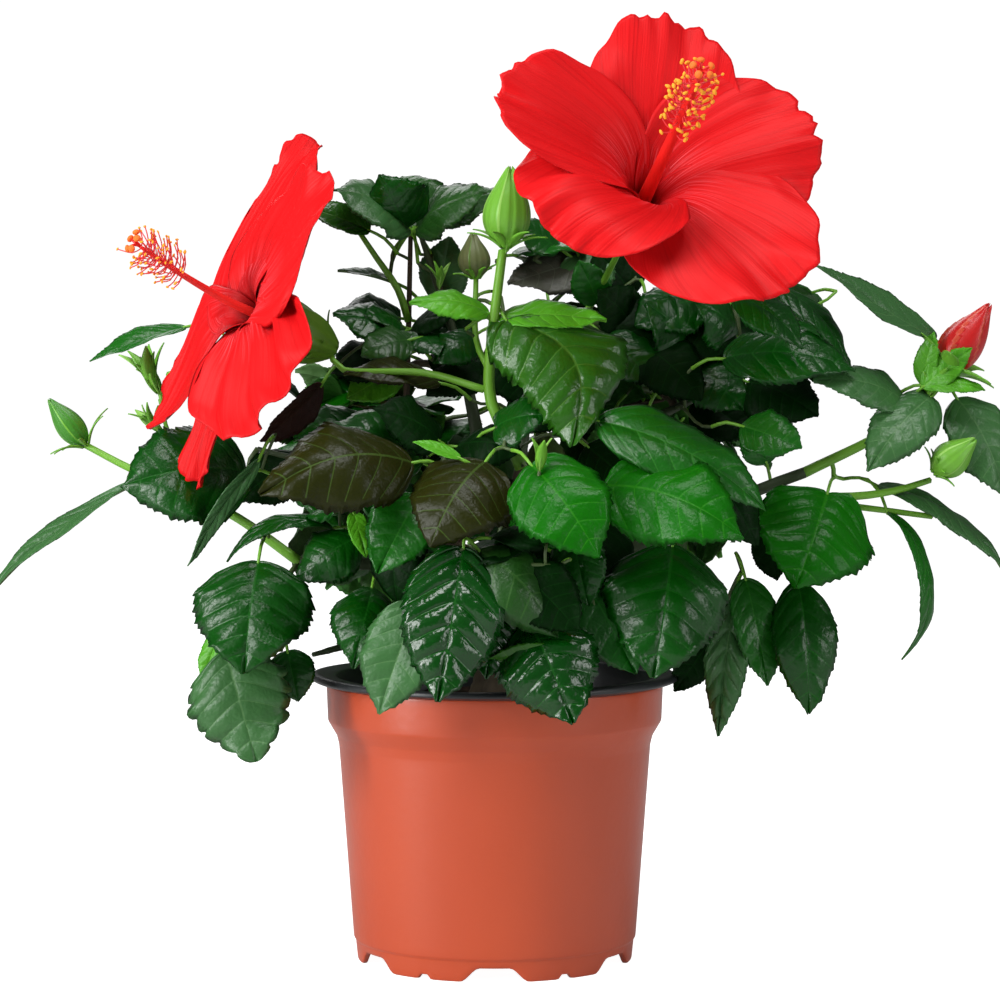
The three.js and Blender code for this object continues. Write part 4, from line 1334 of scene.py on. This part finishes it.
def petal_material():
    """Bright red, with veins that run out along the petal. It darkens down into the throat, partly its own
    dark base and partly painted shade of the deep throat. Pale streaks near the throat are a painted sheen.
    """
    made = material("red_petal", (0.62, 0.005, 0.007), 0.48, 0.13)
    in_map = node(made, "ShaderNodeUVMap", uv_map="OFBake").outputs["UV"]
    height_in_map = node(made, "ShaderNodeSeparateXYZ", Vector=in_map).outputs["Y"]
    along = maths(made, "FRACT", maths(made, "MULTIPLY", height_in_map, 2.0))
    streak_map = stretched(made, in_map, (320, 1.1, 1))
    streaks = node(made, "ShaderNodeTexNoise", Scale=1.6, Detail=3.0, Vector=streak_map).outputs["Fac"]
    streaked = ramp(made, streaks, [(0.28, (0.53, 0.003, 0.005)), (0.52, (0.63, 0.006, 0.008))])
    # Darker down into the throat: partly the petal's own dark base, partly painted shade of the deep throat.
    depth = ramp(made, along, [(0.06, (0.12, 0.05, 0.07)), (0.17, (0.70, 0.55, 0.60)), (0.34, (1, 1, 1))])
    # Pale pinkish streaks near the throat, added to the colour: a painted sheen.
    pale = ramp(made, streaks, [(0.50, (0, 0, 0)), (0.68, (0.20, 0.10, 0.12))])
    near_throat = ramp(made, along, [(0.14, (0, 0, 0)), (0.27, (1, 1, 1)), (0.52, (0, 0, 0))])
    painted_sheen_near_throat = blend(made, "MULTIPLY", pale, near_throat)
    paint(made, blend(made, "ADD", blend(made, "MULTIPLY", streaked, depth), painted_sheen_near_throat))
    add_bump(made, streaks, 0.0007, 0.35)
    return made


def flower_material(name, colour, roughness):
    made = material(name, colour, roughness, 0.4)
    add_bump(made, noise(made, 450, 3), 0.0002, 0.4)
    return made


# ---------------------------------------------------------------- pot and soil


POT_SEGMENTS = 240
ARCHES = 6
SKIRT_RADIUS = 52
# The arches and notches in the skirt: half widths at the foot and the crown, and the height.
ARCH_BASE, ARCH_TOP, ARCH_HEIGHT = 13.0, 5.5, 5.2
NOTCH_BASE, NOTCH_TOP, NOTCH_HEIGHT = 3.08, 1.2, 1.8
SKIRT_TOP = 8.7
RAISED_UP_TO = 6.4        # the height from which on the wall is untouched by the arches
WALL_STEP = 2.6


def hump(turn, middle, base, top, height):
    """The height of one arch in the skirt's edge, with its flanks rounded off."""
    away = np.abs((turn - middle + math.pi) % (2 * math.pi) - math.pi) * SKIRT_RADIUS
    return height * (1 - smooth_step(top, base, away))


def lathe(sheaf, profile, lift=None):
    """A closed ring of the profile's points, (radius, height), round Z. lift(turn, height) raises points."""
    turns = ring_turns(POT_SEGMENTS)
    profile = np.asarray(profile, float)
    radius, height = profile[:, 0][:, None], profile[:, 1][:, None] + 0 * turns[None, :]
    if lift is not None:
        height = lift(turns[None, :], height)
    points = np.stack([radius * np.cos(turns), radius * np.sin(turns), height], -1)
    index = np.arange(len(profile) * POT_SEGMENTS).reshape(len(profile), -1)
    sheaf.add(points.reshape(-1, 3), grid_triangles(index, True, True)[:, ::-1])


def rounded(points, radius, steps=4):
    """A closed outline of (x, y) corners, each rounded by an arc of about radius."""
    points = [np.array(p, float) for p in points]
    made = []
    for before, at, after in zip(points[-1:] + points[:-1], points, points[1:] + points[:1]):
        back, on = at - before, after - at
        cut = min(radius, 0.45 * np.linalg.norm(back), 0.45 * np.linalg.norm(on))
        start, end = at - unit(back) * cut, at + unit(on) * cut
        for t in np.linspace(0, 1, steps):
            made.append((1 - t) ** 2 * start + 2 * t * (1 - t) * at + t * t * end)
    return made


def subdivided(outline, step):
    """The closed outline with no stretch longer than step."""
    made = []
    for a, b in zip(outline, outline[1:] + outline[:1]):
        count = max(1, int(math.ceil(np.linalg.norm(b - a) / step)))
        made.extend(a + (b - a) * i / count for i in range(count))
    return made


def make_shell(terracotta):
    """The outer pot: a wall with a skirt below and a collar above, and a floor."""
    collar_radius, _, collar_top = corners("pot")[1]
    shell = [(52.4, 0), (53.2, SKIRT_TOP - 0.9), (53.9, SKIRT_TOP), (59.4, 82.4), (60.3, 86.0),
             (collar_radius - 0.6, 91.6), (collar_radius - 0.05, collar_top - 0.9),
             (collar_radius - 0.6, collar_top), (60.6, collar_top), (59.0, 88.0), (52.9, 8.5), (50.5, 6.8),
             (50.3, 0)]
    floor = [(0.4, 6.7), (51.2, 6.7), (51.2, 8.0), (0.4, 8.0)]

    def skirt(turn, height):
        raised = np.zeros_like(turn)
        for arch in range(ARCHES):
            middle = -math.pi / 2 + arch * 2 * math.pi / ARCHES
            raised = raised + hump(turn, middle, ARCH_BASE, ARCH_TOP, ARCH_HEIGHT)
            raised = raised + hump(turn, middle + math.pi / ARCHES, NOTCH_BASE, NOTCH_TOP, NOTCH_HEIGHT)
        return height + raised * np.clip(1 - height / RAISED_UP_TO, 0, 1)

    turned = Sheaf()
    lathe(turned, subdivided(rounded(shell, 0.7), WALL_STEP), skirt)
    lathe(turned, rounded(floor, 0.3, 3))
    turned.make("pot_shell", [terracotta], "pot_shell", ["pot"])


def make_lining(lining):
    """The thin black pot inside, with its flat lip."""
    lip_radius, _, lip_top = corners("pot_liner")[1]
    wall = [(51.9, 9.4), (58.2, 88), (60.0, 104.5), (lip_radius - 1.2, lip_top - 3.3),
            (lip_radius, lip_top - 2.6), (lip_radius - 0.3, lip_top - 0.6), (lip_radius - 2.0, lip_top),
            (60.6, lip_top - 1.2), (58.9, 103), (57.2, 88), (51.0, 9.4)]

    def warp(turn, height):
        """The lip sags a little between the stiffer places."""
        share = smooth_step(lip_top - 5, lip_top, height)
        return height - share * (0.45 + 0.45 * np.sin(3 * turn + 0.8))

    turned = Sheaf()
    lathe(turned, subdivided(rounded(wall, 0.8), WALL_STEP), warp)
    turned.make("pot_lining", [lining], "pot_lining", ["pot_liner"])


SOIL_RINGS, SOIL_TURNS, SOIL_WAVES = 46, 150, 26
CRUMBS = 420


def make_soil(earth):
    """Crumbly compost with a dip round the stem."""
    high = corners("soil")[1]
    radius = high[0] - 3.0
    rng = np.random.default_rng(5)
    r = np.linspace(0, 1, SOIL_RINGS)[:, None] ** 0.8 * radius
    a = ring_turns(SOIL_TURNS)[None, :] + 0 * r
    x, y = r * np.cos(a), r * np.sin(a)
    height = np.zeros_like(x)
    for wave in range(SOIL_WAVES):
        k = rng.uniform(0.12, 1.5)
        turn = rng.uniform(0, 6.3)
        run = x * math.cos(turn) + y * math.sin(turn)
        height += np.sin(k * run + rng.uniform(0, 6.3)) * 0.45 / (0.5 + k)
    top = high[2] - 3.4 + 2.0 * (r / radius) ** 2 + np.clip(height, -1.4, 1.3)
    sheaf = Sheaf()
    index = np.arange(x.size).reshape(x.shape)
    sheaf.add(np.stack([x, y, top], -1).reshape(-1, 3), grid_triangles(index, True))
    for crumb in range(CRUMBS):
        turn, away = rng.uniform(0, 6.3), radius * 0.96 * math.sqrt(rng.uniform())
        size = rng.uniform(0.6, 2.1)
        spot = np.array([away * math.cos(turn), away * math.sin(turn), high[2] - 2.6 + size * 0.2])
        sheaf.add(*lump(spot, size, rng))
    sheaf.make("soil_and_crumbs", [earth], "potting_soil", ["soil"])


def lump(centre, size, rng):
    """A small uneven clod: a ball of three rings, pushed about."""
    sides, rows = 7, 3
    lat = np.linspace(-0.9, 0.9, rows)[:, None]
    lon = ring_turns(sides)[None, :]
    ring = np.stack([np.cos(lat) * np.cos(lon), np.cos(lat) * np.sin(lon), np.sin(lat) + 0 * lon], -1)
    points = np.concatenate([ring.reshape(-1, 3), [[0, 0, -1.05], [0, 0, 1.05]]])
    points = points * rng.uniform(0.75, 1.2, (len(points), 1)) * size + centre
    return points, capped_triangles(rows, sides)


# ---------------------------------------------------------------- the pot's, soil's and stems' materials


def terracotta_material():
    made = material("terracotta_plastic", (0.50, 0.074, 0.020), 0.34, 0.55)
    tint = ramp(made, noise(made, 9, 3, (1, 1, 0.5)),
                [(0.35, (0.42, 0.050, 0.012)), (0.65, (0.50, 0.066, 0.017))])
    paint(made, tint)
    add_bump(made, noise(made, 260, 4), 0.00025, 0.35)
    return made


def lining_material():
    made = material("black_plastic", (0.012, 0.014, 0.016), 0.42, 0.5)
    add_bump(made, noise(made, 300, 3), 0.0002, 0.4)
    return made


def soil_material():
    made = material("compost", (0.018, 0.012, 0.008), 0.95, 0.2)
    paint(made, ramp(made, noise(made, 420, 5), [(0.3, (0.006, 0.004, 0.003)), (0.7, (0.045, 0.028, 0.017))]))
    add_bump(made, noise(made, 700, 5), 0.0006, 0.7)
    return made


def bark_material():
    made = material("grey_brown_bark", (0.12, 0.085, 0.05), 0.75, 0.3)
    tint = ramp(made, noise(made, 130, 5, (1, 1, 0.3)),
                [(0.3, (0.030, 0.024, 0.014)), (0.6, (0.090, 0.068, 0.042)), (0.8, (0.15, 0.125, 0.085))])
    paint(made, tint)
    add_bump(made, noise(made, 500, 4, (1, 1, 0.3)), 0.0005, 0.6)
    return made


def stem_material(name, colour, roughness):
    made = material(name, colour, roughness, 0.4)
    add_bump(made, noise(made, 380, 3, (1, 1, 0.4)), 0.0003, 0.35)
    return made


# ---------------------------------------------------------------- light, floor and camera


LIT_MIDDLE = (0, 0, 0.2)

# The lights: where each stands and its two sizes, in metres, and its power.
LIGHTS = {
    "key_softbox": ((-1.15, -1.2, 0.95), (0.5, 0.9), 18),
    "left_softbox": ((-1.5, -0.8, 0.3), (0.24, 1.1), 25),
    "top_softbox": ((0.1, -0.5, 1.5), (0.8, 0.5), 13),
    "right_fill": ((1.5, -0.9, 0.6), (0.5, 0.9), 8.0),
    "back_light": ((-0.3, 1.4, 1.2), (1.0, 0.6), 6),
}
WHITE = (1, 1, 1, 1)
FLOOR_REACH = 30.0


def area_light(name, position, size, power):
    lamp = bpy.data.lights.new(name, "AREA")
    lamp.shape = "RECTANGLE"
    lamp.size, lamp.size_y = size
    lamp.energy = power
    holder = bpy.data.objects.new(name, lamp)
    holder.location = position
    holder.rotation_euler = (Vector(LIT_MIDDLE) - Vector(position)).to_track_quat("-Z", "Y").to_euler()
    bpy.context.scene.collection.objects.link(holder)


def make_floor():
    """A wide pale floor, which only the view itself sees as white."""
    floor_mesh = bpy.data.meshes.new("studio_floor")
    reach = FLOOR_REACH
    floor_corners = [(-reach, -reach, 0), (reach, -reach, 0), (reach, reach, 0), (-reach, reach, 0)]
    floor_mesh.from_pydata(floor_corners, [], [(0, 1, 2, 3)])
    floor = bpy.data.objects.new("studio_floor", floor_mesh)
    bpy.context.scene.collection.objects.link(floor)
    pale = material("pale_floor", (0.55, 0.55, 0.55), 0.9, 0.1)
    in_view = node(pale, "ShaderNodeLightPath").outputs["Is Camera Ray"]
    strength = node(pale, "ShaderNodeMapRange", Value=in_view, **{"To Min": 0.12, "To Max": 0.98})
    feed(pale, shader_of(pale).inputs["Emission Color"], WHITE)
    feed(pale, shader_of(pale).inputs["Emission Strength"], strength.outputs["Result"])
    floor_mesh.materials.append(pale)


def make_studio():
    """The floor, the lights and a dim world, which only the view itself sees as white."""
    make_floor()
    world = bpy.data.worlds.new("studio")
    world.use_nodes = True
    dim = world.node_tree.nodes["Background"]
    feed(world, dim.inputs["Color"], WHITE)
    feed(world, dim.inputs["Strength"], 0.11)
    bright = node(world, "ShaderNodeBackground", Color=WHITE, Strength=1.05)
    mix = node(world, "ShaderNodeMixShader", Fac=node(world, "ShaderNodeLightPath").outputs["Is Camera Ray"])
    feed(world, mix.inputs[1], dim.outputs["Background"])
    feed(world, mix.inputs[2], bright.outputs["Background"])
    feed(world, world.node_tree.nodes["World Output"].inputs["Surface"], mix.outputs["Shader"])
    bpy.context.scene.world = world
    bpy.context.scene.view_settings.view_transform = "Standard"
    for name, (position, size, power) in LIGHTS.items():
        area_light(name, position, size, power)


def make_camera():
    camera = bpy.data.cameras.new("camera")
    camera.lens = LENS
    camera.sensor_width = 36
    camera.clip_end = 100
    holder = bpy.data.objects.new("camera", camera)
    holder.location = EYE * MM
    holder.rotation_euler = (math.pi / 2 - EYE_PITCH, 0, 0)
    bpy.context.scene.collection.objects.link(holder)
    bpy.context.scene.camera = holder


# ---------------------------------------------------------------- the whole


make_camera()
make_studio()
make_shell(terracotta_material())
make_lining(lining_material())
make_soil(soil_material())
bark = bark_material()
make_bark(bark, stem_material("young_bark", (0.030, 0.050, 0.018), 0.6))
stem_skins = [
    stem_material("green_stem", (0.150, 0.380, 0.030), 0.42),
    stem_material("dusky_stem", (0.060, 0.100, 0.030), 0.5),
    bark,
]
stamen_skins = [
    flower_material("red_column", (0.72, 0.014, 0.010), 0.45),
    flower_material("pink_filament", (0.78, 0.055, 0.060), 0.5),
    flower_material("yellow_anther", (0.90, 0.36, 0.020), 0.7),
    flower_material("orange_stigma", (0.85, 0.16, 0.015), 0.7),
]
green_skins = [
    flower_material("bud_green", (0.135, 0.370, 0.030), 0.42),
    flower_material("bud_ridge", (0.240, 0.500, 0.080), 0.42),
    flower_material("bud_dusky", (0.110, 0.130, 0.045), 0.5),
    flower_material("bud_red", (0.480, 0.010, 0.010), 0.36),
    flower_material("bud_red_edge", (0.560, 0.060, 0.030), 0.4),
    flower_material("calyx_olive", (0.075, 0.160, 0.010), 0.40),
    flower_material("bud_leaf_green", (0.040, 0.200, 0.012), 0.42),
]
make_crown(stem_skins, petal_material(), stamen_skins, green_skins)
